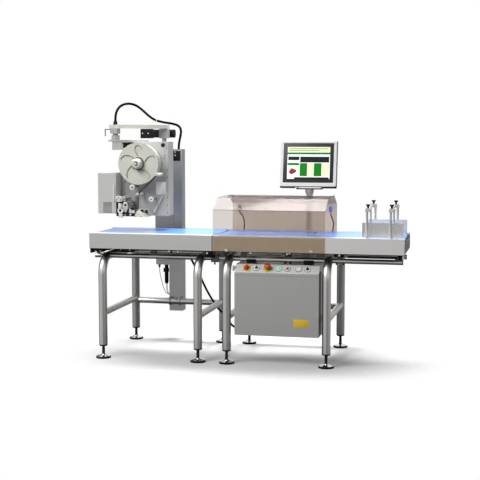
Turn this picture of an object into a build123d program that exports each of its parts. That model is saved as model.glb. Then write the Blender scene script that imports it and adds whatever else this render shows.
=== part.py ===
"""Weigh price labeller: two stainless tables in line, with a labelling head
on a column over the outfeed conveyor, and a hooded weighing conveyor, a touch
screen and a control cabinet on the infeed table. Millimetres, +X along the
line from the outfeed end to the infeed end, +Y away from the operator."""
import math
import os
from build123d import *

os.makedirs("parts", exist_ok=True)

# Driving dimensions: tables
LEG_X = (0, 698, 905, 1604)          # leg centres along the line
LEG_Y = 758                          # rear legs behind the front legs
LEG_OD, LEG_WALL = 60, 2
LEG_FOOT_Z = 78                      # lower end of the leg tube
FLOOR_Z = -16                        # underside of the rubber soles
TOP_TUBE_Z = 710                     # centre of the bent-back top tube
LEG_BEND_R = 120
RAIL_OD, RAIL_WALL = 35, 2
RAIL_Y = (105, 455)                  # the two long rails under the belts
RAIL_X = (-84, 2106)
STRETCHER_OD = 47
SIDE_STRETCHER_Z = 307
REAR_STRETCHER_Z = 291
UPPER_STRETCHER_Z = 672
WELD_GAP = 0.15                      # a welded tube sits this clear of its saddle
FOOT_PAD_D, SPINDLE_D = 100, 20

# Driving dimensions: conveyors
PASS_Z = 880                         # top of the belts
FRAME_H, FRAME_T = 106, 4            # side plates
FRAME_Y = (-35, 495)
LEDGE_W = 72                         # front ledge between side plate and belt
BELT_Y = (42, 455)
BELT_T = 2
ROLLER_D = 46
ROLLER_GAP = 0.4                     # belt to roller
SHAFT_D = 15
SHAFT_CLEARANCE = 0.05
OUTFEED_X = (-84, 808)
WEIGHER_X = (815, 2128)
WEIGH_BELT_X = (820, 1466)
INFEED_BELT_X = (1470, 2122)

# Driving dimensions: hood
HOOD_X = (820, 1597)
HOOD_T = 4
HOOD_PROFILE = ((-45, 1060), (93, 1139), (425, 1139), (565, 1071))
HOOD_FRONT_Z, HOOD_BACK_Z = 772, 868
HOOD_TAB_W, HOOD_TAB_DROP = 58, 24

# Driving dimensions: cabinet
CABINET_X = (969, 1556)
CABINET_Y = (-35, 185)
CABINET_Z = (194, 628)
DESK_TOP = (24, 684)                 # y and z of the sloping panel's upper edge
SHEET_T = 3

# Driving dimensions: column and labelling head
COLUMN_X, COLUMN_DEPTH, COLUMN_Z = (264, 370), 90, (212, 1462)
PLATE_X, PLATE_Z, PLATE_Y = (53, 398), (985, 1518), (320, 446)
REEL_XZ, REEL_D, REEL_Y = (204, 1366), 300, (206, 316)
SWIVEL_XY = (-13, 350)               # vertical axis of the head's swivel
BEAM_Z = (1619, 1646)

# Running fits
PIN_CLEARANCE = 0.05
FACE_GAP = 0.3

nodes = {}


def add(name, *solids):
    """Keep the solids of one node, each as a separate piece."""
    found = []
    for shape in solids:
        found.extend(shape.solids())
    nodes.setdefault(name, []).extend(found)


def block(x, y, z):
    """Box between two corners given as (low, high) pairs."""
    centre = ((x[0] + x[1]) / 2, (y[0] + y[1]) / 2, (z[0] + z[1]) / 2)
    return Pos(*centre) * Box(x[1] - x[0], y[1] - y[0], z[1] - z[0])


def rod(start, axis, length, radius, bore=0):
    """Round bar or tube from a point along +X, +Y or +Z."""
    turn = {"x": (0, 90, 0), "y": (-90, 0, 0), "z": (0, 0, 0)}[axis]
    body = Cylinder(radius, length, align=(Align.CENTER, Align.CENTER, Align.MIN))
    if bore:
        body -= Cylinder(bore, length, align=(Align.CENTER, Align.CENTER, Align.MIN))
    return Pos(*start) * Rot(*turn) * body


def plate_xz(points, y):
    """Plate drawn in the XZ plane, between two y values."""
    face = make_face(Polyline(*[(px, 0, pz) for px, pz in points], close=True))
    return Pos(0, y[0], 0) * extrude(face, amount=y[1] - y[0], dir=(0, 1, 0))


def plate_yz(points, x):
    """Plate drawn in the YZ plane, between two x values."""
    face = make_face(Polyline(*[(0, py, pz) for py, pz in points], close=True))
    return Pos(x[0], 0, 0) * extrude(face, amount=x[1] - x[0], dir=(1, 0, 0))


def turned(profile, at, axis="z"):
    """Solid of revolution from (radius, height) points, standing on a point."""
    face = make_face(Polyline(*[(r, 0, h) for r, h in profile], close=True))
    turn = {"x": (0, 90, 0), "y": (-90, 0, 0), "z": (0, 0, 0)}[axis]
    return Pos(*at) * Rot(*turn) * revolve(face, Axis.Z)


# Legs: the front tube bends back at the top and runs to the rear leg
leg_r = LEG_OD / 2
bend_z = TOP_TUBE_Z - LEG_BEND_R
rail_hole_r = RAIL_OD / 2 + WELD_GAP
stretcher_r = STRETCHER_OD / 2


def front_leg(x):
    path = Wire(
        [
            Edge.make_line((x, 0, LEG_FOOT_Z), (x, 0, bend_z)),
            Edge.make_three_point_arc(
                (x, 0, bend_z),
                (x, LEG_BEND_R * (1 - 2**-0.5), bend_z + LEG_BEND_R * 2**-0.5),
                (x, LEG_BEND_R, TOP_TUBE_Z),
            ),
        ]
    )
    outline = Plane(origin=(x, 0, LEG_FOOT_Z), z_dir=(0, 0, 1))
    ring = Circle(leg_r) - Circle(leg_r - LEG_WALL)
    leg = sweep(outline * ring, path=path)
    for y in RAIL_Y:
        leg -= rod((x - LEG_OD, y, TOP_TUBE_Z), "x", 2 * LEG_OD, rail_hole_r)
    return leg


def top_tube(x):
    tube = rod((x, LEG_BEND_R, TOP_TUBE_Z), "y", LEG_Y - leg_r - LEG_BEND_R, leg_r, leg_r - LEG_WALL)
    for y in RAIL_Y:
        tube -= rod((x - LEG_OD, y, TOP_TUBE_Z), "x", 2 * LEG_OD, rail_hole_r)
    return tube


LEG_TOP_Z = TOP_TUBE_Z + leg_r + 6
SOLE_T, FOOT_H = 11, 32
pad_profile = (
    (0, SOLE_T), (FOOT_PAD_D / 2 - 2, SOLE_T), (FOOT_PAD_D / 2 - 2, SOLE_T + 4),
    (30, SOLE_T + 10), (14, SOLE_T + 15), (14, FOOT_H), (0, FOOT_H),
)
sole_r = FOOT_PAD_D / 2
rubber_profile = ((0, 0), (sole_r, 0), (sole_r, SOLE_T - 2), (sole_r - 3, SOLE_T), (0, SOLE_T))
plug_profile = (
    (SPINDLE_D / 2 + 0.05, LEG_FOOT_Z - 7), (leg_r - 5, LEG_FOOT_Z - 7), (leg_r - 1, LEG_FOOT_Z),
    (leg_r - LEG_WALL, LEG_FOOT_Z), (leg_r - LEG_WALL, LEG_FOOT_Z + 30),
    (SPINDLE_D / 2 + 0.05, LEG_FOOT_Z + 30),
)
for x in LEG_X:
    add("front_legs", front_leg(x))
    rear = rod((x, LEG_Y, LEG_FOOT_Z), "z", LEG_TOP_Z - LEG_FOOT_Z, leg_r, leg_r - LEG_WALL)
    add("rear_legs", rear)
    add("foot_spindles", rod((x, LEG_Y, LEG_TOP_Z), "z", 3, leg_r))
    add("frame_rails", top_tube(x))
    for y in (0, LEG_Y):
        foot = (x, y, FLOOR_Z)
        add("foot_pads", turned(pad_profile, foot), turned(rubber_profile, foot))
        add("foot_spindles", turned(plug_profile, (x, y, 0)))
        spindle_z = (FLOOR_Z + FOOT_H, LEG_FOOT_Z + 24)
        add("foot_spindles", rod((x, y, spindle_z[0]), "z", spindle_z[1] - spindle_z[0], SPINDLE_D / 2))

# Rails and stretchers: straight tubes, notched on the legs with a small gap
for y in RAIL_Y:
    rail_bore = RAIL_OD / 2 - RAIL_WALL
    long_rail = rod((RAIL_X[0], y, TOP_TUBE_Z), "x", RAIL_X[1] - RAIL_X[0], RAIL_OD / 2, rail_bore)
    add("frame_rails", long_rail)
cross_x = RAIL_X[1] - 24
cross_y = (RAIL_Y[0] + RAIL_OD / 2 - 0.5, RAIL_Y[1] - RAIL_OD / 2 + 0.5)
cross_tube = rod((cross_x, cross_y[0], TOP_TUBE_Z), "y", cross_y[1] - cross_y[0], RAIL_OD / 2 - 2, 14)
for y in RAIL_Y:
    cross_tube -= rod((RAIL_X[0], y, TOP_TUBE_Z), "x", 3000, rail_hole_r)
add("frame_rails", cross_tube)
saddle_r = leg_r + WELD_GAP
for x in LEG_X:
    side = rod((x, 0, SIDE_STRETCHER_Z), "y", LEG_Y, stretcher_r, stretcher_r - LEG_WALL)
    for y in (0, LEG_Y):
        side -= rod((x, y, 0), "z", 900, saddle_r)
    add("stretchers", side)
for left, right in (LEG_X[0:2], LEG_X[2:4]):
    for z in (REAR_STRETCHER_Z, UPPER_STRETCHER_Z):
        bar = rod((left, LEG_Y, z), "x", right - left, stretcher_r, stretcher_r - LEG_WALL)
        for x in (left, right):
            bar -= rod((x, LEG_Y, 0), "z", 900, saddle_r)
        add("stretchers", bar)

# Fittings on the rails: end caps, the clamp between the tables, conveyor stands
rail_r = RAIL_OD / 2
for y in RAIL_Y:
    add("rail_fittings", rod((RAIL_X[0] - 4, y, TOP_TUBE_Z), "x", 4, rail_r + 1))
    add("rail_fittings", rod((RAIL_X[1], y, TOP_TUBE_Z), "x", 4, rail_r + 1))
stand_w, stand_d = 40, 30
stand_z = (TOP_TUBE_Z, PASS_Z - FRAME_H)
STAND_X = (-74, 330, 731, 832, 985, 1305, 1661, 2056)
for x in STAND_X:
    for y in RAIL_Y:
        stand = block((x, x + stand_w), (y - stand_d / 2, y + stand_d / 2), stand_z)
        stand -= rod((x - 1, y, TOP_TUBE_Z), "x", stand_w + 2, rail_hole_r)
        add("rail_fittings", stand)
clamp_x = ((LEG_X[1] + LEG_X[2]) / 2 - 26, (LEG_X[1] + LEG_X[2]) / 2 + 26)
for y in RAIL_Y:
    jaw = block(clamp_x, (y - 30, y + 30), (TOP_TUBE_Z - 27, TOP_TUBE_Z + 27))
    jaw -= rod((clamp_x[0] - 1, y, TOP_TUBE_Z), "x", 60, rail_hole_r)
    jaw += rod((sum(clamp_x) / 2, y - 22, TOP_TUBE_Z - 44), "z", 18, 6)
    add("rail_fittings", jaw)

# Conveyor side channels: outer plate, top ledge and inner wall folded in one
frame_bottom = PASS_Z - FRAME_H
inner_wall_y = (BELT_Y[0] - 5, BELT_Y[1] + 4)
roller_r = ROLLER_D / 2
belt_r = roller_r + ROLLER_GAP + BELT_T
roller_z = PASS_Z - belt_r
WALL_DROP = 80                       # inner wall below the ledge
FLANGE_W = 28
BORE_R = SHAFT_D / 2 + SHAFT_CLEARANCE


def side_channel(x, outer, inner):
    """Folded channel from the outer face y to the wall that faces the belt."""
    s = 1 if inner > outer else -1
    t = 3 * s
    low, wall_low = frame_bottom, PASS_Z - WALL_DROP
    points = (
        (outer, low), (outer, PASS_Z), (inner, PASS_Z), (inner, wall_low),
        (inner - t, wall_low), (inner - t, PASS_Z - 3), (outer + t, PASS_Z - 3),
        (outer + t, low + 3), (outer + s * FLANGE_W, low + 3), (outer + s * FLANGE_W, low),
    )
    channel = plate_yz(points, x)
    wall = (min(inner - t, outer + t), max(inner - t, outer + t))
    for end in ((x[0], x[0] + 3), (x[1] - 3, x[1])):
        channel += block(end, wall, (low + 3, PASS_Z - 3))
    return channel


def bore_walls(part, xs, z=roller_z, r=BORE_R):
    for x in xs:
        part -= rod((x, FRAME_Y[0] + 10, z), "y", 510, r)
    return part


def belt_loop(x, y):
    """Endless belt as a hollow stadium between its two rollers."""
    long, thin = x[1] - x[0], 2 * belt_r
    outer = SlotOverall(long, thin)
    inner = SlotOverall(long - 2 * BELT_T, thin - 2 * BELT_T)
    loop = Rot(90, 0, 0) * extrude(outer - inner, amount=y[1] - y[0])
    return Pos((x[0] + x[1]) / 2, y[1], roller_z) * loop


def roller(x, y, shaft_y):
    drum = rod((x, y[0] + 1, roller_z), "y", y[1] - y[0] - 2, roller_r, roller_r - 4)
    for end in (y[0] + 1, y[1] - 9):
        drum += rod((x, end, roller_z), "y", 8, roller_r)
    return drum + rod((x, shaft_y[0], roller_z), "y", shaft_y[1] - shaft_y[0], SHAFT_D / 2)


def roller_axes(x):
    return (x[0] + belt_r, x[1] - belt_r)


def bed(x, y):
    """Slider plate just under the carrying run, between the rollers."""
    top = PASS_Z - BELT_T - FACE_GAP
    return block((x[0] + 2 * belt_r, x[1] - 2 * belt_r), y, (top - 3, top))


shaft_y = (inner_wall_y[0] - 12, inner_wall_y[1] + 12)
outfeed_belt_x = (OUTFEED_X[0] + 2, OUTFEED_X[1] - 2)
channels = {
    "outfeed_frame": (OUTFEED_X, (outfeed_belt_x,)),
    "weigher_frame": (WEIGHER_X, (INFEED_BELT_X,)),
}
for name, (span, belts) in channels.items():
    for outer, inner in zip(FRAME_Y, inner_wall_y):
        channel = side_channel(span, outer, inner)
        for belt in belts:
            channel = bore_walls(channel, roller_axes(belt))
        add(name, channel)
    for belt in belts:
        add(name, bed(belt, inner_wall_y))
    for x in STAND_X:
        if span[0] < x < span[1]:
            member_y = (FRAME_Y[0] + FLANGE_W, FRAME_Y[1] - FLANGE_W)
            add(name, block((x - 10, x + stand_w + 10), member_y, (frame_bottom, frame_bottom + 6)))

add("conveyor_belts", belt_loop(outfeed_belt_x, BELT_Y), belt_loop(INFEED_BELT_X, BELT_Y))
for name, belt in (("outfeed", outfeed_belt_x), ("infeed", INFEED_BELT_X)):
    low, high = roller_axes(belt)
    drive, tail = (low, high) if name == "outfeed" else (high, low)
    add(f"{name}_drive_roller", roller(drive, BELT_Y, shaft_y))
    add(f"{name}_tail_roller", roller(tail, BELT_Y, shaft_y))

# Weigh conveyor: its own cheeks and bed stand on a load cell, clear of the frame
WEIGH_BELT_Y = (BELT_Y[0] + 6, BELT_Y[1] - 6)
cheek_y = ((BELT_Y[0], BELT_Y[0] + 4), (BELT_Y[1] - 4, BELT_Y[1]))
cheek_z = (roller_z - 20, PASS_Z - 4)
cell_x = sum(WEIGH_BELT_X) / 2
for y in cheek_y:
    cheek = block((WEIGH_BELT_X[0] + 8, WEIGH_BELT_X[1] - 8), y, cheek_z)
    add("weigh_platform", bore_walls(cheek, roller_axes(WEIGH_BELT_X)))
add("weigh_platform", bed(WEIGH_BELT_X, (cheek_y[0][1], cheek_y[1][0])))
sling_z = (cheek_z[0] - 18, cheek_z[0] - 14)
sling = block((cell_x - 90, cell_x + 90), (cheek_y[0][0], cheek_y[1][1]), sling_z)
for y in cheek_y:
    sling += block((cell_x - 90, cell_x + 90), y, (sling_z[1], cheek_z[0]))
add("weigh_platform", sling)
cell_z = (frame_bottom + 6, sling_z[0])
cell = block((cell_x - 60, cell_x + 60), (230, 266), cell_z)
cell -= rod((cell_x - 14, 220, sum(cell_z) / 2), "y", 60, 8)
cell -= rod((cell_x + 14, 220, sum(cell_z) / 2), "y", 60, 8)
add("weigh_platform", cell)
flange_y = (FRAME_Y[0] + FLANGE_W, FRAME_Y[1] - FLANGE_W)
add("weigher_frame", block((cell_x - 65, cell_x + 65), flange_y, (frame_bottom, frame_bottom + 6)))
END_PLATE_TOP = 846                  # below the nose of the infeed belt
end_plate_y = (inner_wall_y[0] + WELD_GAP, inner_wall_y[1] - WELD_GAP)
end_plate = block((WEIGHER_X[1] - 3, WEIGHER_X[1]), end_plate_y, (frame_bottom, END_PLATE_TOP))
add("weigher_frame", end_plate)
add("conveyor_belts", belt_loop(WEIGH_BELT_X, WEIGH_BELT_Y))
weigh_shaft_y = (cheek_y[0][0] - 3, cheek_y[1][1] + 3)
add("weigh_drive_roller", roller(roller_axes(WEIGH_BELT_X)[1], WEIGH_BELT_Y, weigh_shaft_y))
add("weigh_tail_roller", roller(roller_axes(WEIGH_BELT_X)[0], WEIGH_BELT_Y, weigh_shaft_y))

# Hood: a fixed rear cover and a front flap hinged along the top front edge
HINGE_R, HINGE_LEN = 4, 42
hinge_y, hinge_z = HOOD_PROFILE[1][0], HOOD_PROFILE[1][1] + HINGE_R


def band(points, thickness):
    """Sheet of even thickness under a YZ line: the line and its mitred offset."""
    line = [Vector(0, y, z) for y, z in points]
    normals = [(b - a).normalized().cross(Vector(1, 0, 0)) for a, b in zip(line, line[1:])]
    inner = []
    for i, corner in enumerate(line):
        before, after = normals[max(i - 1, 0)], normals[min(i, len(normals) - 1)]
        mitre = (before + after).normalized()
        inner.append(corner + mitre * (thickness / mitre.dot(after)))
    outline = line + inner[::-1]
    return [(p.Y, p.Z) for p in outline]


front_low = (HOOD_PROFILE[0][0], HOOD_FRONT_Z)
chamfer = Vector(HOOD_PROFILE[1][0] - HOOD_PROFILE[0][0], HOOD_PROFILE[1][1] - HOOD_PROFILE[0][1])
flap_top = Vector(*HOOD_PROFILE[1]) - chamfer.normalized() * 7
flap_line = (front_low, HOOD_PROFILE[0], (flap_top.X, flap_top.Y))
flap = plate_yz(band(flap_line, HOOD_T), HOOD_X)
for x in (HOOD_X[0], HOOD_X[1] - HOOD_TAB_W):
    tab_z = (HOOD_FRONT_Z - HOOD_TAB_DROP, HOOD_FRONT_Z)
    flap += block((x, x + HOOD_TAB_W), (front_low[0], front_low[0] + HOOD_T), tab_z)
cover_foot = (HOOD_PROFILE[3][0], HOOD_BACK_Z)
cover_line = ((hinge_y + 7, HOOD_PROFILE[1][1]), HOOD_PROFILE[2], HOOD_PROFILE[3], cover_foot)
cover = plate_yz(band(cover_line, HOOD_T), HOOD_X)
knuckle = HINGE_LEN / 3
for x in (HOOD_X[0] + 70, (HOOD_X[0] + HOOD_X[1] - HINGE_LEN) / 2, HOOD_X[1] - 70 - HINGE_LEN):
    cover += block((x, x + HINGE_LEN), (hinge_y + 8, hinge_y + 40), (HOOD_PROFILE[1][1] - 1, hinge_z - 2))
    for end in (x, x + 2 * knuckle + FACE_GAP):
        side = (end, end + knuckle - FACE_GAP)
        cover += rod((side[0], hinge_y, hinge_z), "x", side[1] - side[0], HINGE_R)
        cover += block(side, (hinge_y, hinge_y + 10), (hinge_z - HINGE_R, hinge_z - HINGE_R + 3))
    cover += rod((x, hinge_y, hinge_z), "x", HINGE_LEN, 2.5)
    middle = (x + knuckle, x + 2 * knuckle)
    eye = block(middle, (hinge_y - 12, hinge_y), (hinge_z - HINGE_R, hinge_z - HINGE_R + 3))
    eye += block(middle, (hinge_y - 13, hinge_y - 8), (hinge_z - 14, hinge_z - HINGE_R + 3))
    eye += rod((middle[0], hinge_y, hinge_z), "x", knuckle, HINGE_R)
    flap += eye - rod((middle[0], hinge_y, hinge_z), "x", knuckle, 2.5 + PIN_CLEARANCE)
add("hood_cover", cover)
add("hood_flap", flap)
back_in = HOOD_PROFILE[3][0] - HOOD_T
BRACKET_X = (870, 1180, 1510)
for x in BRACKET_X:
    bracket = block((x, x + 40), (FRAME_Y[1], back_in), (HOOD_BACK_Z - 22, HOOD_BACK_Z - 18))
    bracket += block((x, x + 40), (FRAME_Y[1], FRAME_Y[1] + 4), (HOOD_BACK_Z - 60, HOOD_BACK_Z - 18))
    bracket += block((x, x + 40), (back_in - 4, back_in), (HOOD_BACK_Z - 22, HOOD_BACK_Z + 10))
    add("weigher_frame", bracket)
FLAP_STOP_X = (911, 1491)            # middles of the two stops that the flap rests on
flap_stop_y = (HOOD_PROFILE[0][0] + HOOD_T + FACE_GAP, FRAME_Y[0])
for x in FLAP_STOP_X:
    add("weigher_frame", block((x - 12, x + 12), flap_stop_y, (778, 792)))

# Product sensors on the back of the hood, each with its lead to the frame
SENSOR_X, SENSOR_Z = (879, 1553), 1036
for x in SENSOR_X:
    housing = block((x - 9, x + 9), (back_in - 48, back_in - 8), (SENSOR_Z - 22, SENSOR_Z + 22))
    foot = block((x - 6, x + 6), (back_in - 8, back_in), (SENSOR_Z - 14, SENSOR_Z + 14))
    add("product_sensors", housing + foot)

# Control cabinet: folded shell, screwed front panel and the sloping desk
desk_low = (CABINET_Y[0], CABINET_Z[1] + FACE_GAP)
shell_line = (
    (CABINET_Y[0] + SHEET_T, CABINET_Z[0]), (CABINET_Y[1], CABINET_Z[0]), (CABINET_Y[1], DESK_TOP[1]),
    DESK_TOP, desk_low, (CABINET_Y[0] + SHEET_T, CABINET_Z[1]),
)
hollow_line = (
    (CABINET_Y[0] - 1, CABINET_Z[0] + 22), (CABINET_Y[0] + 22, CABINET_Z[0] + 3),
    (CABINET_Y[1] - 3, CABINET_Z[0] + 3), (CABINET_Y[1] - 3, DESK_TOP[1] - 3),
    (DESK_TOP[0] + 3, DESK_TOP[1] - 3), (CABINET_Y[0] + 5, CABINET_Z[1] - 2),
    (CABINET_Y[0] - 1, CABINET_Z[1] - 2),
)
cabinet = plate_yz(shell_line, CABINET_X)
cabinet -= plate_yz(hollow_line, (CABINET_X[0] + 3, CABINET_X[1] - 3))
HANGER_X = ((1030, 1094), (1432, 1500))
for x in HANGER_X:
    strap = block(x, (RAIL_Y[0] - 24, RAIL_Y[0] + 24), (DESK_TOP[1], TOP_TUBE_Z))
    strap -= rod((x[0] - 1, RAIL_Y[0], TOP_TUBE_Z), "x", 80, rail_hole_r)
    add("rail_fittings", strap)
add("cabinet_panel", block(CABINET_X, (CABINET_Y[0], CABINET_Y[0] + SHEET_T - FACE_GAP / 3), CABINET_Z))

# Desk controls: each sits square to the slope at its place along X
desk_run = Vector(0, DESK_TOP[0] - desk_low[0], DESK_TOP[1] - desk_low[1])
desk_normal = desk_run.normalized().cross(Vector(1, 0, 0)) * -1
CONTROL_S = 42                       # up the slope from its lower edge
CONTROL_X = {
    "main_switch": 1050, "power_selector": 1119, "emergency_stop": 1198, "start_button": 1275,
    "stop_button": 1335, "reset_button": 1414, "mode_selector": 1474,
}
BUTTON_R, TRAVEL = 12, 4


def on_desk(x, shape):
    foot = Vector(x, *desk_low) + desk_run.normalized() * CONTROL_S
    return Plane(origin=foot, x_dir=(1, 0, 0), z_dir=desk_normal).location * shape


collar_profile = (
    (BUTTON_R + PIN_CLEARANCE, -10), (BUTTON_R + PIN_CLEARANCE, 5), (16, 5), (17, 3),
    (17, 0), (14, 0), (14, -14), (0, -14), (0, -10),
)
stop_collar_profile = (
    (BUTTON_R + PIN_CLEARANCE, -10), (BUTTON_R + PIN_CLEARANCE, 9), (16, 9), (16, 4),
    (30, 3), (31, 0), (14, 0), (14, -14), (0, -14), (0, -10),
)
plunger_profile = ((0, -5.7), (BUTTON_R, -5.7), (BUTTON_R, 7), (BUTTON_R - 1.5, 8.5), (0, 8.5))
mushroom_profile = (
    (0, -5.7), (BUTTON_R, -5.7), (BUTTON_R, 14), (19, 14), (21, 17), (20, 22), (12, 26), (0, 27),
)
for name, x in CONTROL_X.items():
    hole = on_desk(x, Pos(0, 0, -20) * Cylinder(14.1, 40, align=(Align.CENTER, Align.CENTER, Align.MIN)))
    cabinet -= hole
    if name == "emergency_stop":
        add("control_collars", on_desk(x, turned(stop_collar_profile, (0, 0, 0))))
        add(name, on_desk(x, turned(mushroom_profile, (0, 0, 0))))
        continue
    collar = turned(collar_profile, (0, 0, 0))
    piece = turned(plunger_profile, (0, 0, 0))
    if name == "main_switch":
        plate = block((-25, 25), (-25, 25), (0, 3)) - block((-13, 13), (-13, 13), (-1, 4))
        collar += plate
        piece += block((-5, 5), (-18, 18), (6, 20)) + rod((0, 0, 5.5), "z", 4, 16)
    if name.endswith("selector"):
        piece += block((-3.5, 3.5), (-11, 11), (7, 16))
    add("control_collars", on_desk(x, collar))
    add(name, on_desk(x, piece))
add("cabinet_shell", cabinet)

# Column: hollow post clamped to the rear stretchers, with a slot up its face
COLUMN_FRONT = LEG_Y + stretcher_r + FACE_GAP
COLUMN_BACK = COLUMN_FRONT + COLUMN_DEPTH
COLUMN_WALL = 4
column = block(COLUMN_X, (COLUMN_FRONT, COLUMN_BACK), COLUMN_Z)
column_bore = [(COLUMN_X[0] + COLUMN_WALL, COLUMN_X[1] - COLUMN_WALL),
               (COLUMN_FRONT + COLUMN_WALL, COLUMN_BACK - COLUMN_WALL)]
column -= block(*column_bore, (COLUMN_Z[0] + COLUMN_WALL, COLUMN_Z[1] - COLUMN_WALL))
SLOT_X, SLOT_Z = (300, 352), (720, 1360)
column -= block(SLOT_X, (COLUMN_FRONT - 1, COLUMN_FRONT + COLUMN_WALL + 1), SLOT_Z)
add("column", column)
add("column", block((302, 357), (COLUMN_FRONT - 6, COLUMN_FRONT), (1374, 1448)))
clamp_band = 8
for x in (COLUMN_X[0] + 6, COLUMN_X[1] - 14):
    for z in (REAR_STRETCHER_Z, UPPER_STRETCHER_Z):
        hoop_r = stretcher_r + FACE_GAP
        hoop = rod((x, LEG_Y, z), "x", clamp_band, hoop_r + 6) - rod((x, LEG_Y, z), "x", clamp_band, hoop_r)
        hoop -= block((x - 1, x + 9), (LEG_Y, LEG_Y + 60), (z - 60, z + 60))
        for s in (-1, 1):
            arm = (z + s * (hoop_r + 3) - 3, z + s * (hoop_r + 3) + 3)
            hoop += block((x, x + clamp_band), (LEG_Y - 0.5, COLUMN_FRONT), arm)
        add("column", hoop)
LIFT_BOX_X, LIFT_BOX_Z = (157, COLUMN_X[0]), (569, 668)
lift_box = block(LIFT_BOX_X, (COLUMN_FRONT + 5, COLUMN_BACK - 5), LIFT_BOX_Z)
add("column", lift_box)
CONNECTOR_XY, CONNECTOR_LEN = (242, 826), 152
connector_profile = (
    (0, 0), (9, 0), (13, 10), (14, 88), (20, 94), (20, 118), (13, 124),
    (13, CONNECTOR_LEN), (0, CONNECTOR_LEN),
)
add("lift_connector", turned(connector_profile, (*CONNECTOR_XY, LIFT_BOX_Z[0] - CONNECTOR_LEN)))

# Lift carriage: slides up the column's side and carries the beam over the belt
GUIDE_GAP, CARRIAGE_W = 0.3, 110
carriage_x = (COLUMN_X[0] - CARRIAGE_W, COLUMN_X[0] - GUIDE_GAP)
CARRIAGE_Z = (760, 1500)
HEAD_BLOCK_X, HEAD_BLOCK_Y, HEAD_BLOCK_Z = (216, 284), (690, 745), (1545, 1624)
carriage = block(carriage_x, (COLUMN_FRONT + 5, COLUMN_BACK - 5), CARRIAGE_Z)
carriage += block(carriage_x, (HEAD_BLOCK_Y[0] + 8, COLUMN_BACK - 5), (CARRIAGE_Z[1] - 8, CARRIAGE_Z[1] + 6))
post_xy = (sum(HEAD_BLOCK_X) / 2, sum(HEAD_BLOCK_Y) / 2)
carriage += rod((*post_xy, CARRIAGE_Z[1]), "z", HEAD_BLOCK_Z[0] - CARRIAGE_Z[1], 17)
add("lift_arm", carriage)
swivel_x, swivel_y = SWIVEL_XY
PIVOT_R, BOSS_R = 15, 30
beam_top_z = HEAD_BLOCK_Z[1]
beam_plan = make_face(Polyline(
    (swivel_x - 37, swivel_y - 35), (swivel_x + 33, swivel_y - 35), (HEAD_BLOCK_X[1], HEAD_BLOCK_Y[0]),
    (HEAD_BLOCK_X[1], HEAD_BLOCK_Y[1]), (HEAD_BLOCK_X[0], HEAD_BLOCK_Y[1]),
    (HEAD_BLOCK_X[0] - 20, HEAD_BLOCK_Y[0]), (swivel_x - 37, swivel_y + 35), close=True))
beam = Pos(0, 0, BEAM_Z[0]) * extrude(beam_plan, amount=BEAM_Z[1] - BEAM_Z[0])
arm_block = block(HEAD_BLOCK_X, HEAD_BLOCK_Y, (HEAD_BLOCK_Z[0], BEAM_Z[0]))
swivel_block_z = (1579, BEAM_Z[0])
swivel_block_x = (swivel_x - 31, swivel_x + 25)
swivel_block = block(swivel_block_x, (swivel_y - 34, swivel_y + 34), swivel_block_z)
PIVOT_LEN = 36
pivot_bore = rod((swivel_x, swivel_y, swivel_block_z[0] - 1), "z", PIVOT_LEN + 1.3, PIVOT_R + PIN_CLEARANCE)
LEVER_R, LEVER_REACH, LEVER_DROP = 4, 48, 50
lever_z = BEAM_Z[0] - 7
lever_start = swivel_block_x[0]
lever_bore = rod((lever_start - 1, swivel_y, lever_z), "x", 16.3, LEVER_R + PIN_CLEARANCE)
swivel_block -= pivot_bore + lever_bore
gland = turned(((0, 0), (14, 0), (14, 8), (11, 14), (11, 22), (0, 22)), (swivel_x, swivel_y, BEAM_Z[1]))
add("lift_arm", beam, arm_block, swivel_block)
add("lift_arm", gland)
lever = rod((lever_start - LEVER_REACH, swivel_y, lever_z), "x", LEVER_REACH + 15, LEVER_R)
lever += Pos(lever_start - LEVER_REACH, swivel_y, lever_z) * Sphere(LEVER_R)
lever += rod((lever_start - LEVER_REACH, swivel_y, lever_z - LEVER_DROP), "z", LEVER_DROP, LEVER_R)
add("clamp_lever", lever)

# Lift motor: gearbox, motor barrel and tail lie in one line behind the block
MOTOR_X = (52, 138, 316)
MOTOR_Y, MOTOR_Z = HEAD_BLOCK_Y[1] + 33, 1584
gearbox = block(MOTOR_X[0:2], (HEAD_BLOCK_Y[1], HEAD_BLOCK_Y[1] + 66), (MOTOR_Z - 39, MOTOR_Z + 33))
flange_x = (MOTOR_X[1], HEAD_BLOCK_X[0] + 10)
gearbox += block(flange_x, (HEAD_BLOCK_Y[1], HEAD_BLOCK_Y[1] + 10), (MOTOR_Z - 30, MOTOR_Z + 20))
barrel_z = MOTOR_Z - 3
barrel = rod((MOTOR_X[1], MOTOR_Y, barrel_z), "x", MOTOR_X[2] - MOTOR_X[1], 31)
for i in range(9):
    groove_x = MOTOR_X[1] + 14 + i * 18
    barrel -= rod((groove_x, MOTOR_Y, barrel_z), "x", 6, 33) - rod((groove_x, MOTOR_Y, barrel_z), "x", 6, 29)
add("lift_motor", gearbox + barrel)

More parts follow.
